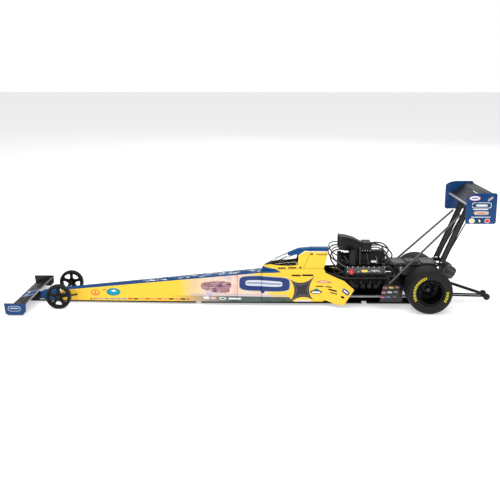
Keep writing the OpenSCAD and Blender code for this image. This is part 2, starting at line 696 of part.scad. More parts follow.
// Wheel standing at the origin, its axle along Y
module front_rim()
    rotate([90, 0, 0]) difference() {
        union() {
            translate([0, 0, -rim_w/2]) difference() {
                cylinder(h=rim_w, r=rim_r);
                translate([0, 0, -1]) cylinder(h=rim_w + 2, r=rim_r - 0.8);
            }
            translate([0, 0, -hub_w/2]) cylinder(h=hub_w, r=2.6);
            for (k = [0:4]) rotate([0, 0, 90 + k*72])
                translate([2, -0.8, -rim_w/2 + 0.6]) cube([rim_r - 2.4, 1.6, rim_w - 1.2]);
        }
        translate([0, 0, -rim_w]) cylinder(h=2*rim_w, r=stub_d/2 + run_fit);
    }

module front_tyre() {
    side = front_tyre_w/2;
    rotate([90, 0, 0]) rotate_extrude($fn=64) translate([rim_r, 0])
        polygon([[0, -side], [0.9, -side], [1.7, 0.6 - side], [front_tyre_t, 1.3 - side],
            [front_tyre_t, side - 1.3], [1.7, side - 0.6], [0.9, side], [0, side]]);
}

front_y = front_track/2;

module front_left_wheel() color("dimgray") translate([front_x, front_y, front_axle_z]) front_rim();
module front_left_tyre() color("black") translate([front_x, front_y, front_axle_z]) front_tyre();
module front_right_wheel() color("dimgray") translate([front_x, -front_y, front_axle_z]) front_rim();
module front_right_tyre() color("black") translate([front_x, -front_y, front_axle_z]) front_tyre();

// ---------- rear wheels ----------

rear_rim_r = rear_rim_d/2;
rear_out = rear_tyre_in + rear_tyre_w;
disc_y = rear_tyre_in + 6;

module rear_axle_shaft() color("silver")
    translate([rear_x, disc_y + 6, rear_axle_z]) rotate([90, 0, 0]) cylinder(h=2*disc_y + 12, r=axle_d/2);

module rear_wheels() color("dimgray")
    both_sides() translate([rear_x, 0, rear_axle_z]) rotate([-90, 0, 0]) rotate_extrude($fn=64)
        polygon([[axle_d/2, disc_y - 1.5], [axle_d/2, disc_y + 3], [4.5, disc_y + 3], [4.5, disc_y + 1],
            [rear_rim_r - 0.9, disc_y + 1], [rear_rim_r - 0.9, rear_out - 0.3], [rear_rim_r, rear_out - 0.3],
            [rear_rim_r, rear_tyre_in + 0.3], [rear_rim_r - 0.9, rear_tyre_in + 0.3],
            [rear_rim_r - 0.9, disc_y - 1.5]]);

module rear_tyres() color("black") {
    r0 = rear_rim_r;
    r1 = rear_tyre_d/2;
    both_sides() translate([rear_x, 0, rear_axle_z]) rotate([-90, 0, 0]) rotate_extrude($fn=96)
        polygon([[r0, rear_tyre_in], [r0, rear_out], [r1 - 2.6, rear_out], [r1 - 0.8, rear_out - 0.8],
            [r1, rear_out - 2.6], [r1, rear_tyre_in + 2.6], [r1 - 0.8, rear_tyre_in + 0.8],
            [r1 - 2.6, rear_tyre_in]]);
}

nose_body();
mid_body();
cockpit_body();
rear_cowl();
canopy();
windscreen();
belly_pan();
cockpit_seat();
steering_yoke();
roll_cage();
lower_frame_rails();
upper_frame_rails();
engine_block();
cylinder_heads();
valve_covers();
supercharger();
injector_hat();
blower_drive();
catch_can();
breather_caps();
exhaust_headers();
clutch_housing();
rear_axle_housing();
rear_deck();
rear_side_panels();
rear_wing_main();
rear_wing_flaps();
rear_wing_endplates();
rear_wing_struts();
rear_wing_stays();
parachute_packs();
wheelie_bar();
wheelie_wheels();
front_wing();
front_wing_flap();
front_wing_endplates();
front_wing_mount();
front_axle();
front_left_wheel();
front_left_tyre();
front_right_wheel();
front_right_tyre();
rear_axle_shaft();
rear_wheels();
rear_tyres();
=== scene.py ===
"""Looks of the drag racing car, a 1:24 display model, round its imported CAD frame."""

import json
import math

import bmesh
import bpy
from mathutils import Matrix, Vector
from mathutils.bvhtree import BVHTree


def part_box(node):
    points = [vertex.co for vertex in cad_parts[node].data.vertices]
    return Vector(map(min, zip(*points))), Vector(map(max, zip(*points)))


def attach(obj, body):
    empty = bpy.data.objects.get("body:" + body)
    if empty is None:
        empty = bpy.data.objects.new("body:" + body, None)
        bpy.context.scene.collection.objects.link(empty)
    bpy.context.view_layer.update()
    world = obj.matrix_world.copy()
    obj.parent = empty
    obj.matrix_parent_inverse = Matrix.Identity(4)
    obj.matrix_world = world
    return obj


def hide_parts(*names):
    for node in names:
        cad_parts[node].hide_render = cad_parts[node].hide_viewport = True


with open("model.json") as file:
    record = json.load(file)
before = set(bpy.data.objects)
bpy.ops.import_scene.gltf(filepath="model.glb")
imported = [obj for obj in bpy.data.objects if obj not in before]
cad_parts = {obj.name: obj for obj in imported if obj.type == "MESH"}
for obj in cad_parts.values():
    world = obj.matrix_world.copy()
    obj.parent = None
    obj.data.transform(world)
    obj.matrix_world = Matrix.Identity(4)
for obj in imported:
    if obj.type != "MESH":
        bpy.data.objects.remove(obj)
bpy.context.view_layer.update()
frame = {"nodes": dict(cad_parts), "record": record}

MM = 0.001
body_of = {node: body for body, nodes in frame["record"]["behaviour"]["bodies"].items() for node in nodes}


# ---------- Studio ----------
# A pale floor that runs out to white, one broad soft light overhead, a second in
# front of the near side, and the camera low on the car's left.

def aim(obj, place, towards):
    obj.location = place
    obj.rotation_euler = Vector(towards).to_track_quat("-Z", "Y").to_euler()


def softbox(name, place, target, size, power):
    light = bpy.data.lights.new(name, "AREA")
    light.shape = "RECTANGLE"
    light.size, light.size_y = size
    light.energy = power
    obj = bpy.data.objects.new(name, light)
    bpy.context.collection.objects.link(obj)
    aim(obj, place, Vector(target) - Vector(place))


CAMERA_PLACE = (-0.00512, 0.57577, 0.20263)
CAMERA_TURN = 0.0137
CAMERA_PITCH = 0.1893
camera = bpy.data.objects.new("camera", bpy.data.cameras.new("camera"))
bpy.context.collection.objects.link(camera)
aim(camera, CAMERA_PLACE, (math.sin(CAMERA_TURN) * math.cos(CAMERA_PITCH),
                           -math.cos(CAMERA_TURN) * math.cos(CAMERA_PITCH), -math.sin(CAMERA_PITCH)))
camera.data.lens = 48.57
camera.data.sensor_width = 36
camera.data.shift_y = -0.100
camera.data.clip_start = 0.01
bpy.context.scene.camera = camera
bpy.context.scene.view_settings.view_transform = "Standard"

softbox("overhead", (0.05, 0.25, 0.95), (0, 0, 0), (1.3, 0.8), 6.5)
softbox("near_side", (0.35, 1.25, 0.55), (0, 0, 0.03), (1.2, 0.7), 5.5)
softbox("far_side", (-0.4, -1.1, 0.7), (0, 0, 0.04), (1.0, 0.6), 2.5)

world = bpy.data.worlds.new("studio")
world.use_nodes = True
sky = world.node_tree.nodes["Background"]
sky.inputs["Color"].default_value = (1, 1, 1, 1)
# White behind the car, dimmer where it lights the car
seen = world.node_tree.nodes.new("ShaderNodeLightPath").outputs["Is Camera Ray"]
strength = world.node_tree.nodes.new("ShaderNodeMapRange")
strength.inputs["To Min"].default_value = 0.40
world.node_tree.links.new(seen, strength.inputs["Value"])
world.node_tree.links.new(strength.outputs["Result"], sky.inputs["Strength"])
bpy.context.scene.world = world

bpy.ops.mesh.primitive_plane_add(size=12)
floor = bpy.context.object
floor.name = "floor"
floor_paint = bpy.data.materials.new("floor_white")
floor_paint.use_nodes = True
floor_paint.node_tree.nodes["Principled BSDF"].inputs["Base Color"].default_value = (0.95, 0.95, 0.95, 1)
floor_paint.node_tree.nodes["Principled BSDF"].inputs["Roughness"].default_value = 0.75
floor_paint.node_tree.nodes["Principled BSDF"].inputs["Specular IOR Level"].default_value = 0.1
floor_paint.node_tree.nodes["Principled BSDF"].inputs["Emission Color"].default_value = (1, 1, 1, 1)
floor_paint.node_tree.nodes["Principled BSDF"].inputs["Emission Strength"].default_value = 0.45
floor.data.materials.append(floor_paint)


# ---------- Body panels ----------
# Cast panels of a long tapering body: nose, middle and cockpit tub, then the canopy
# and the cowl behind it. Sprayed yellow with a blue top, printed and clear coated.

class Wires:
    """Adds nodes to one tree. A value is a number, a colour or another node's output."""

    def __init__(self, tree):
        self.tree = tree

    def feed(self, socket, value):
        if isinstance(value, bpy.types.NodeSocket):
            self.tree.links.new(value, socket)
        elif value is not None:
            socket.default_value = value

    def add(self, kind, values, out=0, **settings):
        node = self.tree.nodes.new(kind)
        for key, value in settings.items():
            setattr(node, key, value)
        for key, value in values.items():
            self.feed(node.inputs[key], value)
        return node.outputs[out]

    def maths(self, operation, *values):
        return self.add("ShaderNodeMath", dict(enumerate(values)), operation=operation)

    def mix(self, mask, below, above):
        node = self.tree.nodes.new("ShaderNodeMix")
        node.data_type = "RGBA"
        for socket, value in ((node.inputs[0], mask), (node.inputs[6], below), (node.inputs[7], above)):
            self.feed(socket, value)
        return node.outputs[2]

    def ramp(self, value, stops, sharp=False):
        node = self.tree.nodes.new("ShaderNodeValToRGB")
        node.color_ramp.interpolation = "CONSTANT" if sharp else "LINEAR"
        steps = node.color_ramp.elements
        while len(steps) < len(stops):
            steps.new(1)
        for step, (place, colour) in zip(steps, stops):
            step.position, step.color = place, colour
        self.feed(node.inputs[0], value)
        return node.outputs[0]


def new_group(name, sockets_in, sockets_out):
    """Node group with float inputs; returns its wires, its input node and its output node."""
    tree = bpy.data.node_groups.new(name, "ShaderNodeTree")
    for label in sockets_in:
        tree.interface.new_socket(label, in_out="INPUT", socket_type="NodeSocketFloat")
    for label in sockets_out:
        tree.interface.new_socket(label, in_out="OUTPUT", socket_type="NodeSocketFloat")
    return Wires(tree), tree.nodes.new("NodeGroupInput"), tree.nodes.new("NodeGroupOutput")


def rgb(red, green, blue):
    return (red, green, blue, 1.0)


# One printed mark: inside a superellipse. Power 2 is an ellipse, 8 a rounded block,
# and 0.7 a four-pointed star.
mark, mark_in, mark_out = new_group(
    "printed_mark", ["Along", "Up", "Centre Along", "Centre Up", "Half Length", "Half Height", "Turn",
        "Power"],
    ["Mask"])
away = mark.maths("SUBTRACT", mark_in.outputs["Along"], mark_in.outputs["Centre Along"])
above = mark.maths("SUBTRACT", mark_in.outputs["Up"], mark_in.outputs["Centre Up"])
cosine = mark.maths("COSINE", mark_in.outputs["Turn"])
sine = mark.maths("SINE", mark_in.outputs["Turn"])
first = mark.maths("ADD", mark.maths("MULTIPLY", away, cosine), mark.maths("MULTIPLY", above, sine))
second = mark.maths("SUBTRACT", mark.maths("MULTIPLY", above, cosine), mark.maths("MULTIPLY", away, sine))
reach = [mark.maths("POWER", mark.maths("ABSOLUTE", mark.maths("DIVIDE", value, mark_in.outputs[size])),
                    mark_in.outputs["Power"])
         for value, size in ((first, "Half Length"), (second, "Half Height"))]
mark.feed(mark_out.inputs["Mask"], mark.maths("LESS_THAN", mark.maths("ADD", *reach), 1.0))

# Fine unevenness of a sprayed or moulded surface, its cells a few millimetres or less across.
grain, grain_in, grain_out = new_group("surface_grain", ["Cells", "Rough", "Spread"],
                                       ["Rough", "Tone", "Height"])
place = grain.add("ShaderNodeTexCoord", {}, out="Object")
fine = grain.add("ShaderNodeTexNoise", {"Vector": place, "Scale": grain_in.outputs["Cells"], "Detail": 3.0})
broad = grain.add("ShaderNodeTexNoise", {"Vector": place, "Scale": 60.0, "Detail": 2.0})
sway = grain.maths("MULTIPLY", grain.maths("SUBTRACT", broad, 0.5), grain_in.outputs["Spread"])
grain.feed(grain_out.inputs["Rough"], grain.maths("ADD", grain_in.outputs["Rough"], sway))
grain.feed(grain_out.inputs["Tone"], grain.maths("MULTIPLY_ADD", sway, 0.8, 1.0))
grain.feed(grain_out.inputs["Height"], fine)


def grouped(wires, group, **values):
    node = wires.tree.nodes.new("ShaderNodeGroup")
    node.node_tree = group.tree
    for key, value in values.items():
        wires.feed(node.inputs[key.replace("_", " ")], value)
    return node


def finish_of(name, colour, rough, cells=2500.0, spread=0.12, bump=0.08, **shader):
    """Material whose colour is constant or wired, with the surface grain in its gloss and relief."""
    paint = bpy.data.materials.new(name)
    paint.use_nodes = True
    wires = Wires(paint.node_tree)
    bsdf = paint.node_tree.nodes["Principled BSDF"]
    for key, value in shader.items():
        bsdf.inputs[key.replace("_", " ")].default_value = value
    if callable(colour):
        colour = colour(wires)
    elif not isinstance(colour, bpy.types.NodeSocket):
        colour = colour[:3]
    skin = grouped(wires, grain, Cells=cells, Rough=rough, Spread=spread)
    tone = wires.add("ShaderNodeVectorMath", {0: colour, 1: skin.outputs["Tone"]}, operation="MULTIPLY")
    wires.feed(bsdf.inputs["Base Color"], tone)
    wires.feed(bsdf.inputs["Roughness"], skin.outputs["Rough"])
    relief = wires.add("ShaderNodeBump", {"Height": skin.outputs["Height"], "Strength": bump,
        "Distance": 0.0001})
    wires.feed(bsdf.inputs["Normal"], relief)
    return paint


def along_and_up(wires, x_zero):
    """Millimetres to the rear of x_zero and above the floor, and the side coordinate."""
    axes = wires.tree.nodes.new("ShaderNodeSeparateXYZ")
    wires.feed(axes.inputs[0], wires.add("ShaderNodeTexCoord", {}, out="Object"))
    back = wires.maths("MULTIPLY", wires.maths("SUBTRACT", x_zero, axes.outputs["X"]), 1000.0)
    return back, wires.maths("MULTIPLY", axes.outputs["Z"], 1000.0), wires.maths("MULTIPLY",
        axes.outputs["Y"], 1000.0)


def printed(wires, back, up, colour, marks):
    """Lays marks over a colour: centre, half sizes, turn in degrees, power and ink of each."""
    for at, high, half_length, half_height, turn, power, ink in marks:
        mask = grouped(wires, mark, Along=back, Up=up, Centre_Along=at, Centre_Up=high,
            Half_Length=half_length,
                       Half_Height=half_height, Turn=math.radians(turn), Power=power).outputs["Mask"]
        colour = wires.mix(mask, colour, ink)
    return colour


def between(wires, value, low, high):
    return wires.maths("MULTIPLY", wires.maths("GREATER_THAN", value, low),
        wires.maths("LESS_THAN", value, high))


YELLOW = rgb(0.93, 0.60, 0.05)
BLUE = rgb(0.0, 0.062, 0.22)
WHITE = rgb(0.88, 0.88, 0.88)
BLACK = rgb(0.004, 0.004, 0.005)
RED = rgb(0.65, 0.03, 0.03)
INDIGO = rgb(0.020, 0.045, 0.17)
TEAL = rgb(0.0, 0.17, 0.26)

front_axle_x = (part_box("front_left_wheel")[0][0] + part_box("front_left_wheel")[1][0]) / 2
nose_rear, nose_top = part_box("nose_body")[0][0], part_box("nose_body")[1][2]
mid_rear, mid_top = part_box("mid_body")[0][0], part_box("mid_body")[1][2]
top_slope = (mid_top - nose_top) / (nose_rear - mid_rear)
top_at_axle = (nose_top - top_slope * (front_axle_x - nose_rear)) / MM
roof_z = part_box("canopy")[1][2] / MM


def livery(wires):
    back, up, side = along_and_up(wires, front_axle_x)
    noise_at = wires.add("ShaderNodeTexCoord", {}, out="Object")
    # Pale printed scene on the flank, fading in from the yellow, over a dark lower band
    patch = wires.add("ShaderNodeTexNoise", {"Vector": noise_at, "Scale": 90.0, "Detail": 4.0})
    sand = wires.ramp(patch, [(0.35, rgb(0.80, 0.53, 0.42)), (0.5, rgb(0.85, 0.66, 0.50)),
        (0.65, rgb(0.62, 0.50, 0.55))])
    fade_in = wires.add("ShaderNodeMapRange", {0: back, 1: 103.0, 2: 128.0})
    slant = wires.maths("ADD", back, wires.maths("MULTIPLY", up, 0.9))
    fade_out = wires.add("ShaderNodeMapRange", {0: slant, 1: 196.0, 2: 188.0})
    colour = wires.mix(wires.maths("MULTIPLY", fade_in, fade_out), YELLOW, sand)
    deep = wires.ramp(patch, [(0.4, rgb(0.02, 0.06, 0.065)), (0.6, rgb(0.05, 0.10, 0.095))])
    low_fade = wires.add("ShaderNodeMapRange", {0: back, 1: 92.0, 2: 150.0})
    low_band = wires.maths("MULTIPLY", wires.maths("LESS_THAN", up, 8.3),
                           wires.maths("LESS_THAN", wires.maths("ADD", back, up), 208.0))
    colour = wires.mix(wires.maths("MULTIPLY", wires.maths("MULTIPLY", low_band, low_fade), 0.95), colour,
        deep)
    haze = wires.maths("MULTIPLY", between(wires, back, 112.0, 198.0), between(wires, up, 8.5, 10.6))
    comb = wires.maths("GREATER_THAN", wires.maths("FRACT", wires.maths("MULTIPLY", up, 0.9)), 0.45)
    colour = wires.mix(wires.maths("MULTIPLY", wires.maths("MULTIPLY", haze, comb), 0.75), colour,
        rgb(0.36, 0.38, 0.60))
    # Two soft-edged printed scenes of no particular thing
    drawn = wires.add("ShaderNodeCombineXYZ", {0: wires.maths("MULTIPLY", back, 0.22),
        1: wires.maths("MULTIPLY", up, 0.75)})
    motif = wires.add("ShaderNodeTexNoise", {"Vector": drawn, "Scale": 1.0, "Detail": 5.0})
    motif_ink = wires.ramp(motif, [(0.36, rgb(0.04, 0.04, 0.12)), (0.43, rgb(0.16, 0.10, 0.20)),
        (0.49, rgb(0.38, 0.24, 0.24)),
                                   (0.54, rgb(0.50, 0.14, 0.08)), (0.60, rgb(0.30, 0.28, 0.45)),
                                       (0.66, rgb(0.80, 0.60, 0.42))])
    for at, high, half_length, half_height in ((135.5, 17.0, 13.5, 3.9), (139.5, 13.2, 8.0, 2.4)):
        ragged = wires.maths("ADD", up, wires.maths("MULTIPLY", wires.maths("SUBTRACT", motif, 0.5), 4.0))
        mask = grouped(wires, mark, Along=back, Up=ragged, Centre_Along=at, Centre_Up=high,
                       Half_Length=half_length, Half_Height=half_height, Turn=0.04,
                           Power=3.0).outputs["Mask"]
        colour = wires.mix(mask, colour, motif_ink)
    # Row of tiny blank blocks along the sill, one ink each
    cell = wires.maths("DIVIDE", back, 5.2)
    ink = wires.add("ShaderNodeTexWhiteNoise", {"W": wires.maths("FLOOR", cell)}, noise_dimensions="1D")
    inks = wires.ramp(ink, [(0.0, BLACK), (0.25, RED), (0.5, rgb(0.25, 0.28, 0.34)),
        (0.75, rgb(0.7, 0.25, 0.2))], True)
    row_up = wires.maths("SUBTRACT", up, wires.maths("MULTIPLY", back, 0.011))
    row = wires.maths("MULTIPLY", between(wires, back, 24.0, 112.0), between(wires, row_up, 3.3, 4.5))
    row = wires.maths("MULTIPLY", row, wires.maths("LESS_THAN", wires.maths("FRACT", cell), 0.84))
    colour = wires.mix(row, colour, inks)
    colour = printed(wires, back, up, colour, [
        # Round mark and oval badge behind the front wheels
        (28.3, 9.6, 4.0, 2.7, 0, 2.0, rgb(0.80, 0.16, 0.05)), (28.3, 9.9, 2.9, 1.7, 0, 2.0, YELLOW),
        (28.3, 9.9, 1.2, 1.9, 0, 0.8, rgb(0.80, 0.16, 0.05)), (36.3, 12.0, 1.7, 0.35, 0, 8.0, INDIGO),
        (44.4, 10.3, 6.3, 3.3, 0, 2.0, TEAL), (44.4, 10.3, 5.7, 2.8, 0, 2.0, rgb(0.0, 0.30, 0.42)),
        (44.6, 11.2, 3.0, 1.1, 0, 0.8, WHITE),
        # Pale blocks on the lower band
        (127.0, 6.6, 2.6, 1.0, 0, 4.0, WHITE), (133.0, 6.4, 2.2, 0.9, 0, 4.0, rgb(0.8, 0.5, 0.4)),
        (141.5, 6.2, 3.0, 1.1, 0, 2.0, WHITE), (141.5, 6.2, 2.0, 0.6, 0, 2.0, rgb(0.05, 0.12, 0.12)),
        (152.0, 6.2, 5.6, 0.75, 0, 8.0, rgb(0.75, 0.80, 0.78)),
        # Blank ribbon badge
        (178.0, 19.6, 22.6, 6.9, 0, 4.5, rgb(0.50, 0.46, 0.42)), (178.0, 19.6, 21.9, 6.3, 0, 4.5, INDIGO),
        (177.5, 19.9, 16.0, 2.5, 0, 5.0, rgb(0.66, 0.68, 0.76)),
            (177.5, 19.9, 15.2, 0.9, 0, 8.0, rgb(0.30, 0.34, 0.48)),
        (176.5, 12.6, 2.2, 1.8, 0, 0.9, INDIGO),
        # Dark four-pointed star
        (210.5, 15.0, 19.0, 16.0, 48, 0.52, rgb(0.05, 0.045, 0.055)),
            (210.5, 15.0, 15.0, 12.5, 48, 0.52, rgb(0.10, 0.09, 0.11)),
        (210.5, 15.0, 12.0, 10.0, 48, 0.52, rgb(0.035, 0.032, 0.04)),
        # Small blank stickers on the cockpit's flank
        (205.5, 27.9, 4.0, 0.75, 0, 8.0, BLACK), (215.5, 28.2, 5.0, 0.8, 0, 8.0, BLACK),
        (212.5, 4.9, 6.5, 0.85, 0, 8.0, rgb(0.75, 0.70, 0.85)),
        (229.5, 22.6, 7.2, 1.4, 0, 1.4, rgb(0.62, 0.25, 0.12)),
            (229.5, 22.6, 3.4, 0.6, 0, 2.0, rgb(0.75, 0.55, 0.4)),
        (226.0, 18.4, 3.4, 0.5, 0, 8.0, BLACK), (233.6, 18.4, 2.6, 0.5, 0, 8.0, BLACK),
        (223.0, 13.2, 5.2, 1.9, 0, 2.0, BLACK), (223.0, 12.9, 3.9, 0.8, 0, 3.0, WHITE),
            (223.2, 15.3, 2.6, 1.3, 0, 1.0, TEAL),
        (237.0, 15.9, 3.6, 0.7, -8, 8.0, BLACK), (238.0, 13.3, 3.1, 0.65, -8, 8.0, rgb(0.15, 0.12, 0.05)),
        (248.0, 15.4, 3.4, 1.9, -38, 4.0, INDIGO), (248.0, 15.4, 2.4, 0.6, -38, 4.0, WHITE),
        (245.5, 10.4, 1.9, 1.3, -20, 1.2, BLACK),
        # Stickers under the side window and on the cowl
        (193.0, 34.1, 3.4, 0.6, 2, 8.0, BLACK), (202.0, 34.6, 3.6, 0.6, 2, 8.0, BLACK),
            (209.0, 35.0, 1.1, 1.0, 2, 1.2, BLACK),
        (219.0, 46.2, 1.1, 0.6, 0, 8.0, BLACK), (228.0, 46.0, 5.0, 0.45, 0, 8.0, rgb(0.3, 0.2, 0.04)),
    ])
    # Blue over the nose, the whole top and the roof
    top_line = wires.maths("MULTIPLY_ADD", back, top_slope, top_at_axle - 1.1)
    tail = wires.maths("SUBTRACT", 193.0, wires.maths("MULTIPLY", wires.maths("SUBTRACT", up, 30.0), 1.6))
    top = wires.maths("MULTIPLY", wires.maths("GREATER_THAN", up, top_line),
        wires.maths("LESS_THAN", back, tail))
    below_screen = wires.maths("MAXIMUM", wires.maths("LESS_THAN", up, 33.2),
        wires.maths("LESS_THAN", back, 172.0))
    top = wires.maths("MULTIPLY", top, below_screen)
    roof_line = wires.add("ShaderNodeMapRange", {0: back, 1: 206.0, 2: 213.0, 3: roof_z - 6.2,
        4: roof_z - 2.1})
    roof = wires.maths("MULTIPLY", wires.maths("GREATER_THAN", up, roof_line),
        wires.maths("GREATER_THAN", back, 190.0))
    nose = wires.maths("LESS_THAN", back, -3.0)
    covered = wires.maths("MAXIMUM", wires.maths("MAXIMUM", top, roof), nose)
    colour = wires.mix(covered, colour, BLUE)
    # White streaks on the top, and a pinstripe along the roof's edge
    streak_at = wires.add("ShaderNodeCombineXYZ",
        {0: wires.maths("MULTIPLY", back, 0.16), 1: wires.maths("MULTIPLY", side, 0.5)})
    streak = wires.add("ShaderNodeTexNoise", {"Vector": streak_at, "Scale": 1.0, "Detail": 3.0})
    streak = wires.maths("MULTIPLY", wires.maths("GREATER_THAN", streak, 0.565),
        between(wires, back, 70.0, 176.0))
    inner = wires.maths("LESS_THAN", wires.maths("ABSOLUTE", side), 4.4)
    colour = wires.mix(wires.maths("MULTIPLY", wires.maths("MULTIPLY", streak, inner), top), colour, WHITE)
    pin = between(wires, wires.maths("SUBTRACT", up, roof_line), -0.5, -0.1)
    pin = wires.maths("MULTIPLY", pin, wires.maths("GREATER_THAN", back, 192.0))
    colour = wires.mix(pin, colour, WHITE)
    return printed(wires, back, up, colour, [(-3.4, 11.0, 1.0, 2.2, 0, 1.0, WHITE), (66.5, 21.0, 2.2, 2.0,
        0, 1.2, rgb(0.8, 0.45, 0.4))])


team_paint = finish_of("team_paint", livery, 0.36, cells=1800.0, spread=0.05, bump=0.03, Coat_Weight=0.1,
                       Coat_Roughness=0.12, Specular_IOR_Level=0.14)
# Near-black for the shell's inside faces and the seam tongues
inside_black = finish_of("inside_black", BLACK, 0.6, Specular_IOR_Level=0.25)


def plain_mesh(obj):
    """Turns what the modifiers make into the object's own mesh."""
    result = bpy.data.meshes.new_from_object(obj.evaluated_get(bpy.context.evaluated_depsgraph_get()))
    obj.modifiers.clear()
    obj.data = result


def own_piece(name, mesh, material, body):
    for finish in (material if isinstance(material, (list, tuple)) else [material]):
        mesh.materials.append(finish)
    obj = bpy.data.objects.new(name, mesh)
    bpy.context.collection.objects.link(obj)
    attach(obj, body)
    return obj


def eased(node, material, edge=0.15, inside=None, sharp=35):
    """The CAD part with its edges broken and its curves shaded smooth, in its finish."""
    work = bmesh.new()
    work.from_mesh(frame["nodes"][node].data)
    work.transform(frame["nodes"][node].matrix_world)
    bmesh.ops.remove_doubles(work, verts=work.verts, dist=2e-6)
    bmesh.ops.dissolve_limit(work, angle_limit=math.radians(0.6), verts=work.verts, edges=work.edges)
    mesh = bpy.data.meshes.new(node + "_piece")
    work.to_mesh(mesh)
    work.free()
    obj = bpy.data.objects.new(node + "_piece", mesh)
    bpy.context.collection.objects.link(obj)
    if edge:
        bevel = obj.modifiers.new("edges", "BEVEL")
        bevel.width = edge * MM
        bevel.segments = 2
        bevel.limit_method = "ANGLE"
        bevel.angle_limit = math.radians(38)
        plain_mesh(obj)
    mesh = obj.data
    mesh.polygons.foreach_set("use_smooth", [True] * len(mesh.polygons))
    mesh.set_sharp_from_angle(angle=math.radians(sharp))
    for finish in [material] + ([inside] if inside else []):
        mesh.materials.append(finish)
    if inside:
        # Inside faces, coloured near-black: on a lid they look to the middle of its open underside, in the
        # tub at another wall or up from the floor
        skin = BVHTree.FromPolygons([v.co for v in mesh.vertices], [p.vertices for p in mesh.polygons])
        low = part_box(node)[0]
        for face in mesh.polygons:
            normal, centre = face.normal, face.center
            if low[2] > 15 * MM:
                within = normal.y * centre.y + normal.z * (centre.z - low[2]) < 0 and abs(normal.x) < 0.9
            else:
                within = skin.ray_cast(centre + normal * 0.3 * MM, normal)[0] or (
                    normal.z > 0.3 and centre.z < low[2] + 4 * MM)
            face.material_index = 1 if within else 0
    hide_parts(node)
    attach(obj, body_of[node])
    return obj


for node in ("nose_body", "mid_body"):
    eased(node, team_paint, 0.12)
for node in ("cockpit_body", "rear_cowl", "canopy"):
    eased(node, team_paint, 0.08, inside=inside_black)


for node in ("nose_body", "mid_body"):
    # Tongue of the front panel that closes the seam to the panel behind it
    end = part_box(node)[0][0]
    edge = [v.co for v in frame["nodes"][node].data.vertices if abs(v.co.x - end) < 0.02 * MM]
    middle = sum(edge, Vector()) / len(edge)
    tongue = bmesh.new()
    for shift in (0.5, -0.6):
        for place in edge:
            inner = middle + (place - middle) * 0.93
            tongue.verts.new((end + shift * MM, inner.y, inner.z))
    bmesh.ops.convex_hull(tongue, input=tongue.verts)
    mesh = bpy.data.meshes.new(node + "_tongue")
    tongue.to_mesh(mesh)
    tongue.free()
    own_piece(node + "_tongue", mesh, inside_black, "chassis")


# ---------- Screen ----------
# Clear moulded glazing set into the canopy, with a black pillar strip over it.

glass = finish_of("clear_glazing", rgb(0.93, 0.96, 0.97), 0.03, spread=0.01, bump=0.0,
    Transmission_Weight=1.0, IOR=1.2)
eased("windscreen", glass, 0)


def smooth_path(points, steps=8):
    """Catmull-Rom curve through chosen points."""
    ends = [points[0]] + list(points) + [points[-1]]
    path = []
    for a, b, c, d in zip(ends, ends[1:], ends[2:], ends[3:]):
        a, b, c, d = (Vector(p) for p in (a, b, c, d))
        for step in range(steps):
            t = step / steps
            path.append(0.5 * (2 * b + (c - a) * t + (2 * a - 5 * b + 4 * c - d) * t * t
                               + (3 * b - 3 * c + d - a) * t ** 3))
    return path + [Vector(points[-1])]


def tube(name, path, radius, material, body, sides=10, flat=1.0):
    """Tube swept along a path of points in metres; flat squeezes it across its first normal."""
    work = bmesh.new()
    side = (path[1] - path[0]).orthogonal().normalized()
    rings = []
    for i, point in enumerate(path):
        ahead = (path[min(i + 1, len(path) - 1)] - path[max(i - 1, 0)]).normalized()
        side = (side - ahead * side.dot(ahead)).normalized()
        other = ahead.cross(side)
        rings.append([work.verts.new(point + radius * (math.cos(turn) * side * flat + math.sin(turn) * other))
                      for turn in (2 * math.pi * k / sides for k in range(sides))])
    for one, two in zip(rings, rings[1:]):
        for k in range(sides):
            work.faces.new((one[k], one[(k + 1) % sides], two[(k + 1) % sides], two[k]))
    work.faces.new(rings[0][::-1])
    work.faces.new(rings[-1])
    bmesh.ops.recalc_face_normals(work, faces=work.faces)
    mesh = bpy.data.meshes.new(name)
    work.to_mesh(mesh)
    work.free()
    mesh.polygons.foreach_set("use_smooth", [True] * len(mesh.polygons))
    mesh.set_sharp_from_angle(angle=math.radians(50))
    return own_piece(name, mesh, material, body)


screen_mesh = frame["nodes"]["windscreen"].data
screen_skin = BVHTree.FromPolygons([v.co for v in screen_mesh.vertices],
    [p.vertices for p in screen_mesh.polygons])
trim_black = finish_of("trim_black", BLACK, 0.35, Specular_IOR_Level=0.3)


def on_screen(back, up, hand):
    """Point on the glass at a place seen from the side, or None where there is no glass."""
    hit = screen_skin.ray_cast(Vector((front_axle_x - back * MM, hand * 0.05, up * MM)),
        Vector((0, -hand, 0)))[0]
    return hit


for hand, label in ((1, "left"), (-1, "right")):
    strip = [on_screen(187.6 + 1.15 * k, 38.4 + 0.56 * k, hand) for k in range(12)]
    strip = [point for point in strip if point]
    if len(strip) > 2:
        tube("pillar_strip_" + label, strip, 0.45 * MM, trim_black, "canopy", sides=8)


# ---------- Fasteners ----------
# Hex heads and rivets, set in rows along the edges they hold.

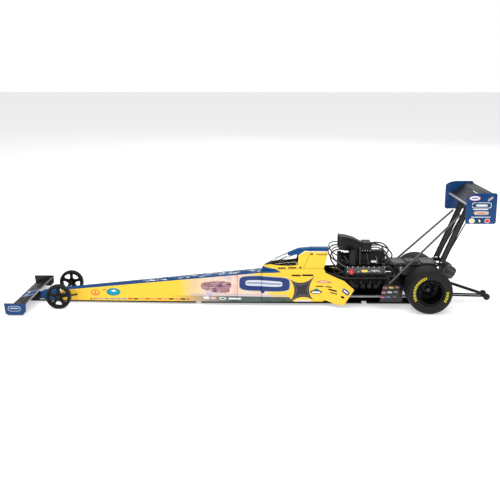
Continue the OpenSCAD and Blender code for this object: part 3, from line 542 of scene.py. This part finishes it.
stud_tree = bpy.data.node_groups.new("set_of_studs", "GeometryNodeTree")
stud_tree.interface.new_socket("Geometry", in_out="INPUT", socket_type="NodeSocketGeometry")
for label, kind in (("Radius", "Float"), ("Height", "Float"), ("Sides", "Int"), ("Out", "Vector"),
    ("Finish", "Material")):
    stud_tree.interface.new_socket(label, in_out="INPUT", socket_type="NodeSocket" + kind)
stud_tree.interface.new_socket("Geometry", in_out="OUTPUT", socket_type="NodeSocketGeometry")
studs = Wires(stud_tree)
stud_in = stud_tree.nodes.new("NodeGroupInput")
head = studs.add("GeometryNodeMeshCylinder", {"Vertices": stud_in.outputs["Sides"],
    "Radius": stud_in.outputs["Radius"],
                                              "Depth": stud_in.outputs["Height"]})
lean = studs.add("FunctionNodeAlignRotationToVector", {"Vector": stud_in.outputs["Out"]}, axis="Z")
placed = studs.add("GeometryNodeInstanceOnPoints",
    {"Points": stud_in.outputs["Geometry"], "Instance": head, "Rotation": lean})
solid = studs.add("GeometryNodeRealizeInstances", {"Geometry": placed})
solid = studs.add("GeometryNodeSetMaterial", {"Geometry": solid, "Material": stud_in.outputs["Finish"]})
studs.feed(stud_tree.nodes.new("NodeGroupOutput").inputs["Geometry"], solid)


def set_studs(name, points, radius, height, out, material, body="chassis", sides=6):
    """Studs on a list of points in millimetres, each turned to face out."""
    mesh = bpy.data.meshes.new(name)
    mesh.from_pydata([Vector(p) * MM for p in points], [], [])
    obj = bpy.data.objects.new(name, mesh)
    bpy.context.collection.objects.link(obj)
    modifier = obj.modifiers.new("studs", "NODES")
    modifier.node_group = stud_tree
    values = {"Radius": radius * MM, "Height": height * MM, "Sides": sides, "Out": out, "Finish": material}
    for item in stud_tree.interface.items_tree:
        if item.name in values:
            modifier[item.identifier] = values[item.name]
    plain_mesh(obj)
    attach(obj, body)
    return obj


def mm_box(node):
    return [tuple(value / MM for value in corner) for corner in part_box(node)]


def row(a, b, count):
    return [tuple(p + (q - p) * k / (count - 1) for p, q in zip(a, b)) for k in range(count)]


steel = finish_of("bright_steel", rgb(0.55, 0.56, 0.58), 0.3, Metallic=0.9)
dark_steel = finish_of("dark_steel", rgb(0.045, 0.045, 0.05), 0.4, Metallic=0.6)

# ---------- Cockpit ----------
# Moulded seat with its headrest, the hoop behind it and the yoke.

satin_black = finish_of("satin_black", BLACK, 0.42, Specular_IOR_Level=0.3)
for node in ("cockpit_seat", "steering_yoke", "roll_cage"):
    eased(node, satin_black, 0.2)

# ---------- Pan and frame ----------
# Black strip under the body, and the tubes that carry engine, axle and wing.

rail_grey = finish_of("rail_grey", rgb(0.30, 0.305, 0.32), 0.3, Metallic=0.5)
eased("lower_frame_rails", rail_grey, 0)
for node in ("belly_pan", "upper_frame_rails", "front_wing_mount", "front_axle",
             "clutch_housing", "rear_axle_housing"):
    eased(node, satin_black, 0.1)

# ---------- Engine ----------
# Cast block with finned rotor case and scoop on top, all moulded in dark grey.

cast_black = finish_of("cast_black", rgb(0.005, 0.005, 0.006), 0.45, cells=3500.0, bump=0.25,
    Specular_IOR_Level=0.25)
for node in ("engine_block", "cylinder_heads", "supercharger", "blower_drive", "exhaust_headers"):
    eased(node, cast_black, 0.2)
scoop_black = finish_of("scoop_black", rgb(0.005, 0.005, 0.006), 0.4, cells=5000.0, bump=0.12,
    Specular_IOR_Level=0.25)
eased("injector_hat", scoop_black, 0.25)
eased("catch_can", satin_black, 0.5)


def cover_colour(wires):
    back, up, side = along_and_up(wires, front_axle_x)
    return printed(wires, back, up, rgb(0.022, 0.023, 0.026), [
        (263.5, 34.4, 2.6, 0.8, 0, 8.0, rgb(0.75, 0.60, 0.05)),
            (272.5, 34.6, 3.4, 0.5, 0, 8.0, rgb(0.4, 0.4, 0.42))])


cover_grey = finish_of("cover_grey", cover_colour, 0.28, Specular_IOR_Level=0.5)
eased("valve_covers", cover_grey, 0.5)
cap_red = finish_of("cap_red", rgb(0.62, 0.01, 0.015), 0.2, Coat_Weight=0.5)
eased("breather_caps", cap_red, 0)

case_low, case_high = mm_box("supercharger")
block_low, block_high = mm_box("engine_block")
hat_low = mm_box("injector_hat")[0]
engine_x = (block_low[0] + block_high[0]) / 2
for hand, label in ((1, "left"), (-1, "right")):
    set_studs("case_bolts_" + label, row((case_low[0] + 2, hand * (case_high[1] + 0.1), case_low[2] + 1),
                                         (case_high[0] - 2, hand * (case_high[1] + 0.1), case_low[2] + 1),
                                             9),
              0.42, 0.5, (0, hand, 0), steel)
    set_studs("hat_bolts_" + label, row((hat_low[0] + 1.2, hand * 6.45, case_high[2] + 1),
                                        (hat_low[0] + 8, hand * 6.45, case_high[2] + 1), 4), 0.38, 0.4,
                                            (0, hand, 0), steel)
    # Heads of the cover screws stand square to the tilted cover
    lean_out = (0, hand * math.sin(math.radians(45)), math.cos(math.radians(45)))
    cover_top = 26.2
    centre = (0, hand * cover_top * lean_out[2], block_low[2] + 13.6 + cover_top * lean_out[2])
    for shift, line in ((2.3, "lower"), (-2.3, "upper")):
        y, z = centre[1] + hand * shift * lean_out[2], centre[2] - shift * lean_out[2]
        set_studs("cover_screws_%s_%s" % (line, label),
            row((engine_x - 16, y, z), (engine_x + 16, y, z), 8),
                  0.4, 0.5, lean_out, steel)

# ---------- Hoses ----------
# Braided and plain black lines from the scoop and the rotor case to the heads. Each is
# moulded stiff, about 8 to 33 mm long, and held at both ends.


def braid_colour(wires):
    weave = wires.add("ShaderNodeTexWave", {"Vector": wires.add("ShaderNodeTexCoord", {}, out="Object"),
        "Scale": 900.0,
                                            "Distortion": 1.5})
    return wires.ramp(weave, [(0.2, rgb(0.02, 0.02, 0.022)), (0.8, rgb(0.16, 0.16, 0.17))])


braid = finish_of("braided_line", braid_colour, 0.35, Metallic=0.5)
hose_black = finish_of("hose_black", rgb(0.02, 0.02, 0.022), 0.4)


def hose(name, points, diameter, material):
    """Line that leaves the engine at its first point and ends in it at its last."""
    path = smooth_path([Vector((front_axle_x / MM - s, y, z)) * MM for s, y, z in points])
    return tube(name, path, diameter / 2 * MM, material, "chassis", sides=10)


# Each line: name, diameter, finish, and its points: behind the front axle, out from the middle, up
LINES = (
    ("front_line", 1.3, hose_black, ((243.6, 7.8, 50.6), (238.2, 8.8, 49.4), (235.0, 9.6, 44.6),
        (237.2, 11.0, 39.0),
                                     (242.6, 13.0, 34.0), (247.6, 13.4, 31.2))),
    ("vapour_line", 1.1, braid, ((244.8, 8.2, 52.8), (239.0, 9.8, 52.8), (235.6, 10.6, 49.6),
        (238.2, 12.2, 43.5),
                                 (244.4, 14.0, 38.4), (248.6, 14.6, 36.6))),
    ("rear_line", 1.3, hose_black, ((270.6, 4.0, 53.0), (277.0, 5.0, 53.6), (284.0, 7.0, 51.4),
        (288.4, 8.6, 46.0),
                                    (286.0, 9.4, 41.0), (282.4, 10.0, 38.2))),
    ("return_line", 1.2, hose_black, ((270.4, 5.0, 51.4), (276.0, 6.6, 52.0), (281.6, 8.6, 49.6),
        (284.4, 9.8, 45.0),
                                      (283.0, 10.4, 39.6), (280.0, 11.0, 36.6))),
    ("drop_line", 1.8, hose_black, ((261.0, 6.8, 52.0), (260.6, 9.4, 49.0), (260.4, 10.6, 44.0),
        (260.4, 11.6, 40.0),
                                    (260.4, 12.4, 37.8))),
    ("feed_line", 1.5, braid, ((274.6, 7.3, 43.6), (275.0, 9.2, 43.4), (275.2, 11.0, 41.4),
        (275.2, 11.8, 38.4))),
    ("side_line", 1.4, hose_black, ((266.4, 7.0, 46.4), (266.6, 9.4, 45.8), (267.2, 11.0, 42.6),
        (268.0, 12.2, 38.0))),
    ("low_line", 1.4, hose_black, ((247.4, 7.2, 44.0), (249.0, 9.2, 42.0), (251.4, 10.6, 39.0),
        (252.6, 11.6, 37.4))),
    ("clutch_line", 2.0, hose_black, ((281.0, 9.0, 35.0), (286.0, 10.2, 35.2), (291.0, 10.0, 31.0),
        (292.6, 8.0, 25.0),
                                      (292.0, 6.4, 22.4))),
    ("bleed_line", 1.6, hose_black, ((280.0, 6.0, 41.0), (285.0, 7.4, 41.0), (289.8, 8.4, 37.8),
        (293.4, 7.8, 33.0),
                                     (295.4, 6.0, 27.0), (295.2, 4.6, 23.2))),
    ("head_line", 1.2, braid, ((283.0, 15.0, 27.6), (285.6, 15.6, 25.4), (286.6, 14.0, 21.0),
        (285.0, 10.0, 17.4),
                               (283.6, 7.6, 15.6))),
    ("pump_line", 1.6, hose_black, ((243.4, 3.4, 24.0), (240.6, 5.4, 25.0), (240.8, 8.8, 28.2),
        (244.4, 11.6, 30.6),
                                    (247.4, 12.4, 31.4))),
)
for hand, label in ((1, "left"), (-1, "right")):
    for title, diameter, finish, points in LINES:
        hose("%s_%s" % (title, label), [(s, hand * y, z) for s, y, z in points], diameter, finish)


def rounded(name, middle, half, material, body="chassis", full=5.0, cuts=11):
    """Block with full rounded sides, from its middle and half sizes in millimetres."""
    work = bmesh.new()
    bmesh.ops.create_cube(work, size=2)
    bmesh.ops.subdivide_edges(work, edges=work.edges, cuts=cuts, use_grid_fill=True)
    for vertex in work.verts:
        direction = vertex.co.normalized()
        form = direction / sum(abs(c) ** full for c in direction) ** (1 / full)
        vertex.co = Vector([m + f * h for m, f, h in zip(middle, form, half)]) * MM
    mesh = bpy.data.meshes.new(name)
    work.to_mesh(mesh)
    work.free()
    mesh.polygons.foreach_set("use_smooth", [True] * len(mesh.polygons))
    return own_piece(name, mesh, material, body)


# Box for the timers behind the block, and a small pump ahead of each head
rounded("timer_box", (front_axle_x / MM - 287.6, 0, 33.6), (4.0, 6.6, 3.8), satin_black)
for hand, label in ((1, "left"), (-1, "right")):
    rounded("pump_" + label, (front_axle_x / MM - 244.6, hand * 8.2, 21.0), (1.6, 2.6, 3.0), dark_steel)
    rounded("line_block_" + label, (front_axle_x / MM - 273.0, hand * 10.6, 40.4), (3.2, 1.2, 1.2), steel)

# ---------- Rear end ----------
# Deck plates, sticker panels beside the clutch and the packs behind the axle.

deck_grey = finish_of("deck_grey", rgb(0.045, 0.047, 0.05), 0.38, Metallic=0.2)
eased("rear_deck", deck_grey, 0.15)


def panel_colour(wires):
    back, up, side = along_and_up(wires, front_axle_x)
    rows = ((rgb(0.32, 0.10, 0.13), rgb(0.50, 0.42, 0.04), rgb(0.36, 0.14, 0.17)),
            (rgb(0.42, 0.16, 0.16), rgb(0.45, 0.45, 0.47), rgb(0.20, 0.20, 0.24)),
            (rgb(0.40, 0.10, 0.10), rgb(0.07, 0.14, 0.28), rgb(0.14, 0.05, 0.05)))
    cells = [(281.4 + 5.2 * k - 1.0 * line, 19.6 - 4.2 * line + 0.3 * k, 2.1 - 0.4 * (k == 2), 0.8, -4, 4.0,
        ink)
             for line, inks in enumerate(rows) for k, ink in enumerate(inks)]
    return printed(wires, back, up, BLACK, cells)


eased("rear_side_panels", finish_of("panel_black", panel_colour, 0.32), 0.15)

# ---------- Wing ----------
# Two-part wing in woven look between blue endplates, on braced black struts.


def weave_colour(wires):
    spot = wires.add("ShaderNodeTexCoord", {}, out="Object")
    axes = wires.tree.nodes.new("ShaderNodeSeparateXYZ")
    wires.feed(axes.inputs[0], spot)
    over = wires.maths("FRACT", wires.maths("MULTIPLY",
        wires.maths("ADD", axes.outputs["X"], axes.outputs["Y"]), 700.0))
    across = wires.maths("FRACT", wires.maths("MULTIPLY",
        wires.maths("SUBTRACT", axes.outputs["Y"], axes.outputs["X"]), 350.0))
    tow = wires.maths("ABSOLUTE", wires.maths("SUBTRACT", wires.maths("GREATER_THAN", over, 0.5),
                                              wires.maths("GREATER_THAN", across, 0.5)))
    return wires.mix(tow, rgb(0.010, 0.011, 0.016), rgb(0.024, 0.026, 0.034))


def weave_with_edge_highlight(wires):
    """The weave, with a light grey strip painted along the leading edge as its highlight."""
    back, up, side = along_and_up(wires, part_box("rear_wing_main")[1][0])
    return wires.mix(wires.maths("LESS_THAN", back, 1.5), weave_colour(wires), rgb(0.40, 0.41, 0.42))


carbon = finish_of("woven_look", weave_colour, 0.45, Specular_IOR_Level=0.25)
eased("rear_wing_flaps", carbon, 0.1)
# Main plane: the weave with a painted highlight along its leading edge
eased("rear_wing_main", finish_of("woven_edge_highlight", weave_with_edge_highlight, 0.45, Specular_IOR_Level=0.25), 0.1)


def front_plane_colour(wires):
    """Black plane with a blue middle between white lines, and two small pale marks."""
    back, up, side = along_and_up(wires, front_axle_x)
    across = wires.maths("ABSOLUTE", side)
    colour = wires.mix(between(wires, across, 7.0, 7.6), rgb(0.008, 0.009, 0.011), WHITE)
    colour = wires.mix(wires.maths("LESS_THAN", across, 7.0), colour, BLUE)
    return printed(wires, back, across, colour, [
        (-36.0, 22.0, 0.4, 9.0, 0, 8.0, rgb(0.14, 0.15, 0.17)),
            (-31.5, 22.0, 0.3, 9.0, 0, 8.0, rgb(0.14, 0.15, 0.17)),
        (-33.5, 25.5, 0.9, 1.4, 0, 2.0, rgb(0.45, 0.12, 0.05)),
            (-34.0, 3.5, 1.4, 3.0, 20, 1.2, rgb(0.55, 0.62, 0.72))])


eased("front_wing", finish_of("front_plane_paint", front_plane_colour, 0.4, Specular_IOR_Level=0.3), 0.1)
silver = finish_of("satin_silver", rgb(0.42, 0.43, 0.45), 0.3, Metallic=0.7)
eased("front_wing_flap", silver, 0.05)
stay_grey = finish_of("stay_grey", rgb(0.09, 0.09, 0.095), 0.3, Metallic=0.5)
eased("rear_wing_stays", stay_grey, 0)
eased("rear_wing_struts", satin_black, 0.12)
for hand, label in ((1, "left"), (-1, "right")):
    # Control lines clipped between the two tubes of a strut, foot to saddle
    for behind, radius, line in ((1.3, 0.62, "front"), (2.7, 0.72, "rear")):
        ends = [Vector((front_axle_x / MM - 329.1 - behind - 0.4 * rise, hand * 9.0, 38.05 + rise)) * MM
                for rise in (1.5, 13.0, 26.0, 40.0, 50.5)]
        tube("strut_line_%s_%s" % (line, label), ends, radius * MM, hose_black, "chassis", sides=8)


PLATE_BLUE = rgb(0.0, 0.042, 0.165)


def outer_face(wires, side, node, printed_face, plain):
    """Prints only on the faces that look away from the car."""
    edge = mm_box(node)[1][1] - 0.3
    return wires.mix(wires.maths("GREATER_THAN", wires.maths("ABSOLUTE", side), edge), plain, printed_face)


def rear_plate_colour(wires):
    back, up, side = along_and_up(wires, front_axle_x)
    return outer_face(wires, side, "rear_wing_endplates", printed(wires, back, up, PLATE_BLUE, [
        (349.5, 100.3, 4.6, 2.0, 0, 2.0, rgb(0.75, 0.25, 0.25)), (349.5, 100.3, 4.0, 1.6, 0, 2.0, WHITE),
        (349.5, 100.3, 2.8, 0.7, 0, 3.0, rgb(0.12, 0.2, 0.5)),
            (362.2, 99.8, 2.6, 0.9, 38, 3.0, rgb(0.45, 0.38, 0.33)),
        (355.4, 94.4, 7.8, 2.4, 0, 6.0, WHITE), (355.4, 94.4, 7.4, 2.0, 0, 6.0, PLATE_BLUE),
            (355.4, 94.3, 4.6, 0.8, 0, 8.0, WHITE),
        (354.6, 91.0, 6.2, 0.35, 0, 8.0, WHITE), (355.4, 88.0, 6.0, 1.5, 0, 4.0, rgb(0.62, 0.50, 0.42)),
        (355.4, 87.7, 3.4, 0.6, 0, 4.0, rgb(0.55, 0.2, 0.12)),
            (355.2, 84.6, 8.0, 0.3, 0, 8.0, rgb(0.7, 0.75, 0.85)),
        (348.0, 81.4, 2.3, 2.0, 0, 2.0, WHITE), (348.0, 81.4, 1.6, 1.2, 0, 2.0, rgb(0.85, 0.6, 0.2)),
        (354.2, 81.4, 2.2, 1.9, 0, 2.0, BLACK), (354.2, 81.4, 1.0, 1.5, 20, 1.0, rgb(0.7, 0.8, 0.5)),
        (360.6, 81.4, 2.2, 1.9, 0, 2.0, rgb(0.75, 0.6, 0.6)), (360.6, 81.4, 1.6, 1.4, 0, 2.0, RED)]),
            PLATE_BLUE)


def front_plate_colour(wires):
    back, up, side = along_and_up(wires, front_axle_x)
    badge = printed(wires, back, up, PLATE_BLUE, [(-32.0, 6.6, 5.4, 2.4, 0, 3.0, rgb(0.45, 0.52, 0.62)),
                                            (-32.0, 6.6, 4.9, 2.0, 0, 3.0, PLATE_BLUE),
                                            (-32.0, 6.9, 3.6, 0.5, 0, 8.0, rgb(0.45, 0.52, 0.62))])
    return outer_face(wires, side, "front_wing_endplates", badge, rgb(0.004, 0.006, 0.012))


plate_paint = finish_of("rear_plate_paint", rear_plate_colour, 0.35, spread=0.05, bump=0.03,
    Coat_Weight=0.15,
                        Specular_IOR_Level=0.25)
eased("rear_wing_endplates", plate_paint, 0.25)
eased("front_wing_endplates", finish_of("front_plate_paint", front_plate_colour, 0.35, spread=0.05,
                                        Coat_Weight=0.15, Specular_IOR_Level=0.25), 0.2)

wing_low, wing_high = mm_box("rear_wing_main")
for hand, label in ((1, "left"), (-1, "right")):
    for height in (0.2, 0.5, 0.8):
        x = wing_high[0] + (wing_low[0] - wing_high[0]) * height
        z = wing_low[2] + (wing_high[2] - wing_low[2]) * height
        set_studs("plate_screw_%s_%d" % (label, round(10 * height)),
            [(x, hand * (mm_box("rear_wing_endplates")[1][1] - 0.15), z)],
                  0.45, 0.3, (0, hand, 0), dark_steel, sides=12)

# ---------- Parachute packs ----------
# Two stuffed cloth packs strapped to a tray, their flaps pulled in by the straps.

pack_low, pack_high = mm_box("parachute_packs")


def cloth_colour(wires):
    weave = wires.add("ShaderNodeTexWave", {"Vector": wires.add("ShaderNodeTexCoord", {}, out="Object"),
        "Scale": 1500.0})
    return wires.ramp(weave, [(0.3, rgb(0.012, 0.012, 0.014)), (0.7, rgb(0.035, 0.035, 0.038))])


pack_cloth = finish_of("pack_cloth", cloth_colour, 0.75, cells=900.0, bump=0.5, Sheen_Weight=0.4)
webbing = finish_of("webbing", rgb(0.10, 0.10, 0.11), 0.7, cells=1500.0, bump=0.5)
pack_half = (4.7, 4.7, 5.5)
pack_tilt = Matrix.Rotation(math.radians(-30), 4, "Y")
pack_x, pack_z = pack_low[0] + 6.96, pack_high[2] - 7.25
tray_height = 26.1


def pack_place(point, hand):
    """From a pack's own axes to the car, in metres."""
    x, y, z = pack_tilt @ Vector([p * h for p, h in zip(point, pack_half)])
    return Vector((pack_x + x, hand * (pack_high[1] - pack_half[1] - 0.1) + y, pack_z + z)) * MM


def stuffed(point, full=3.4):
    """A cube's point pushed out to a stuffed form, drawn in under its two straps."""
    direction = Vector(point).normalized()
    form = direction / sum(abs(c) ** full for c in direction) ** (1 / full)
    pinch = sum(math.exp(-((form.z - at) / 0.13) ** 2) for at in (-0.42, 0.42))
    return Vector((form.x * (1 - 0.09 * pinch), form.y * (1 - 0.09 * pinch), form.z))


for hand, label in ((1, "left"), (-1, "right")):
    work = bmesh.new()
    bmesh.ops.create_cube(work, size=2)
    bmesh.ops.subdivide_edges(work, edges=work.edges, cuts=23, use_grid_fill=True)
    for vertex in work.verts:
        vertex.co = pack_place(stuffed(vertex.co), hand)
    mesh = bpy.data.meshes.new("pack_" + label)
    work.to_mesh(mesh)
    work.free()
    mesh.polygons.foreach_set("use_smooth", [True] * len(mesh.polygons))
    pack = own_piece("pack_" + label, mesh, pack_cloth, "chassis")
    if hand > 0:
        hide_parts("parachute_packs")
    for place, line in ((-0.42, "lower"), (0.42, "upper")):
        turns = [2 * math.pi * k / 48 for k in range(49)]
        loop = [pack_place(stuffed((math.cos(t), math.sin(t), place * 1.04)) * 1.02, hand) for t in turns]
        tube("strap_%s_%s" % (line, label), loop, 0.55 * MM, webbing, "chassis", sides=8, flat=0.4)
tray = bmesh.new()
bmesh.ops.create_cube(tray, size=1)
for vertex in tray.verts:
    vertex.co = Vector((pack_high[0] - 10.3 + 19.6 * vertex.co.x, 3.6 * vertex.co.y,
        tray_height + 1.6 * vertex.co.z)) * MM
bmesh.ops.bevel(tray, geom=tray.edges[:], offset=0.2 * MM, segments=2, affect="EDGES")
mesh = bpy.data.meshes.new("pack_tray")
tray.to_mesh(mesh)
tray.free()
own_piece("pack_tray", mesh, satin_black, "chassis")

# ---------- Wheelie bar ----------
# Two trailing tubes a side to a small pair of wheels, braced by a hoop.

eased("wheelie_bar", satin_black, 0.1)
eased("wheelie_wheels", satin_black, 0.3)

# ---------- Wheels and tyres ----------
# Spoked front wheels on narrow tyres, deep dished rear wheels in wide slicks.


def lathe(name, outline, centre, material, body, steps=128):
    """Ring of an outline of radii and side places, turned about the axle; millimetres."""
    work = bmesh.new()
    rings = [[work.verts.new(Vector((centre[0] + r * math.cos(turn), y,
        centre[1] + r * math.sin(turn))) * MM)
              for r, y in outline] for turn in (2 * math.pi * k / steps for k in range(steps))]
    count = len(outline)
    for one, two in zip(rings, rings[1:] + rings[:1]):
        for k in range(count):
            work.faces.new((one[k], one[(k + 1) % count], two[(k + 1) % count], two[k]))
    bmesh.ops.recalc_face_normals(work, faces=work.faces)
    mesh = bpy.data.meshes.new(name)
    work.to_mesh(mesh)
    work.free()
    mesh.polygons.foreach_set("use_smooth", [True] * len(mesh.polygons))
    return own_piece(name, mesh, material, body)


def tyre_outline(inner, outer, low, high, power, points=40):
    """Rounded carcass between two radii and two side faces."""
    def bent(value):
        return math.copysign(abs(value) ** (2 / power), value)
    turns = [2 * math.pi * k / points for k in range(points)]
    return [((inner + outer) / 2 + (outer - inner) / 2 * bent(math.cos(t)),
             (low + high) / 2 + (high - low) / 2 * bent(math.sin(t))) for t in turns]


rear_low, rear_high = mm_box("rear_tyres")
rear_axle = ((rear_low[0] + rear_high[0]) / 2, (rear_low[2] + rear_high[2]) / 2)
rear_radius = (rear_high[0] - rear_low[0]) / 2
rear_rim = (mm_box("rear_wheels")[1][0] - mm_box("rear_wheels")[0][0]) / 2


def slick_colour(wires):
    """Black rubber with short yellow blocks in two arcs round the outer sidewall."""
    back, up, side = along_and_up(wires, rear_axle[0] * MM)
    rise = wires.maths("SUBTRACT", up, rear_axle[1])
    radius = wires.maths("SQRT", wires.maths("ADD", wires.maths("MULTIPLY", back, back),
        wires.maths("MULTIPLY", rise, rise)))
    turn = wires.maths("MULTIPLY", wires.maths("ARCTAN2", rise, back), 180 / math.pi)
    ring = between(wires, radius, 12.9, 14.9)
    outer = wires.maths("GREATER_THAN", wires.maths("ABSOLUTE", side), rear_high[1] - 1.6)
    turned = wires.maths("MODULO", wires.maths("ADD", turn, 360.0), 360.0)
    long_arc = between(wires, turned, 107.0, 209.0)
    short_arc = wires.maths("MAXIMUM", wires.maths("LESS_THAN", turned, 6.0),
        wires.maths("GREATER_THAN", turned, 327.0))
    step = wires.maths("FRACT", wires.maths("DIVIDE", turned, 10.2))
    blocks = between(wires, step, 0.14, 0.86)
    hollow = wires.maths("MULTIPLY", between(wires, step, 0.40, 0.66), between(wires, radius, 13.4, 14.5))
    mask = wires.maths("MULTIPLY", wires.maths("MULTIPLY", ring, outer), wires.maths("MULTIPLY",
                       wires.maths("MAXIMUM", long_arc, short_arc),
                           wires.maths("SUBTRACT", blocks, hollow)))
    return wires.mix(mask, rgb(0.006, 0.006, 0.007), rgb(0.70, 0.58, 0.02))


slick = finish_of("slick_rubber", slick_colour, 0.66, cells=4000.0, bump=0.25, Specular_IOR_Level=0.3)
slick_width = 21.9
for hand, label in ((1, "left"), (-1, "right")):
    carcass = tyre_outline(rear_rim - 0.1, rear_radius, rear_high[1] - slick_width, rear_high[1], 4.6)
    lathe("rear_slick_" + label, [(r, hand * y) for r, y in carcass], rear_axle, slick, "rear_wheelset")
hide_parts("rear_tyres")

wheel_black = finish_of("wheel_black", rgb(0.003, 0.003, 0.004), 0.3, Specular_IOR_Level=0.16)
eased("rear_wheels", wheel_black, 0.15)
eased("rear_axle_shaft", dark_steel, 0.2)
disc_y = mm_box("rear_axle_shaft")[1][1]
for hand, label in ((1, "left"), (-1, "right")):
    set_studs("wheel_nuts_" + label, [(rear_axle[0] + 6.2 * math.cos(t), hand * (disc_y - 4.7),
        rear_axle[1] + 6.2 * math.sin(t))
                                      for t in (2 * math.pi * k / 8 for k in range(8))], 0.6, 0.9,
                                          (0, 1, 0), dark_steel, "rear_wheelset")
    set_studs("rim_bolts_" + label, [(rear_axle[0] + (rear_rim - 0.45) * math.cos(t),
        hand * (rear_high[1] - 0.35),
                                      rear_axle[1] + (rear_rim - 0.45) * math.sin(t))
                                     for t in (2 * math.pi * k / 20 for k in range(20))], 0.22, 0.3,
                                         (0, 1, 0), dark_steel,
              "rear_wheelset")

front_rubber = finish_of("front_rubber", rgb(0.006, 0.006, 0.007), 0.62, cells=4000.0, bump=0.25,
    Specular_IOR_Level=0.3)
SPOKE = [(2.0, 2.1), (3.6, 1.35), (5.4, 1.05), (6.8, 1.25), (7.6, 1.8), (8.2, 3.0)]
for side in ("left", "right"):
    low, high = mm_box("front_%s_tyre" % side)
    centre = ((low[0] + high[0]) / 2, (low[2] + high[2]) / 2)
    radius = (high[0] - low[0]) / 2
    tyre = lathe("front_%s_rubber" % side, tyre_outline(radius - 2.1, radius, low[1], high[1], 3.4, 32),
        centre,
                 front_rubber, "front_" + side)
    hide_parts("front_%s_tyre" % side)
    eased("front_%s_wheel" % side, wheel_black, 0.15)
    # Spoke faces widen to the hub and to the rim
    spokes = bmesh.new()
    for k in range(5):
        turn = math.radians(90 + 72 * k)
        rims = [[spokes.verts.new(Vector((centre[0] + r * math.cos(turn) - w * math.sin(turn),
            (low[1] + high[1]) / 2 + y,
                                          centre[1] + r * math.sin(turn) + w * math.cos(turn))) * MM)
                 for r, w in SPOKE + [(r, -w) for r, w in SPOKE[::-1]]] for y in (-1.3, 1.3)]
        count = len(rims[0])
        for one, two in zip(range(count), list(range(1, count)) + [0]):
            spokes.faces.new((rims[0][one], rims[0][two], rims[1][two], rims[1][one]))
        spokes.faces.new(rims[0][::-1])
        spokes.faces.new(rims[1])
    bmesh.ops.recalc_face_normals(spokes, faces=spokes.faces)
    mesh = bpy.data.meshes.new("front_%s_spokes" % side)
    spokes.to_mesh(mesh)
    spokes.free()
    own_piece("front_%s_spokes" % side, mesh, wheel_black, "front_" + side)
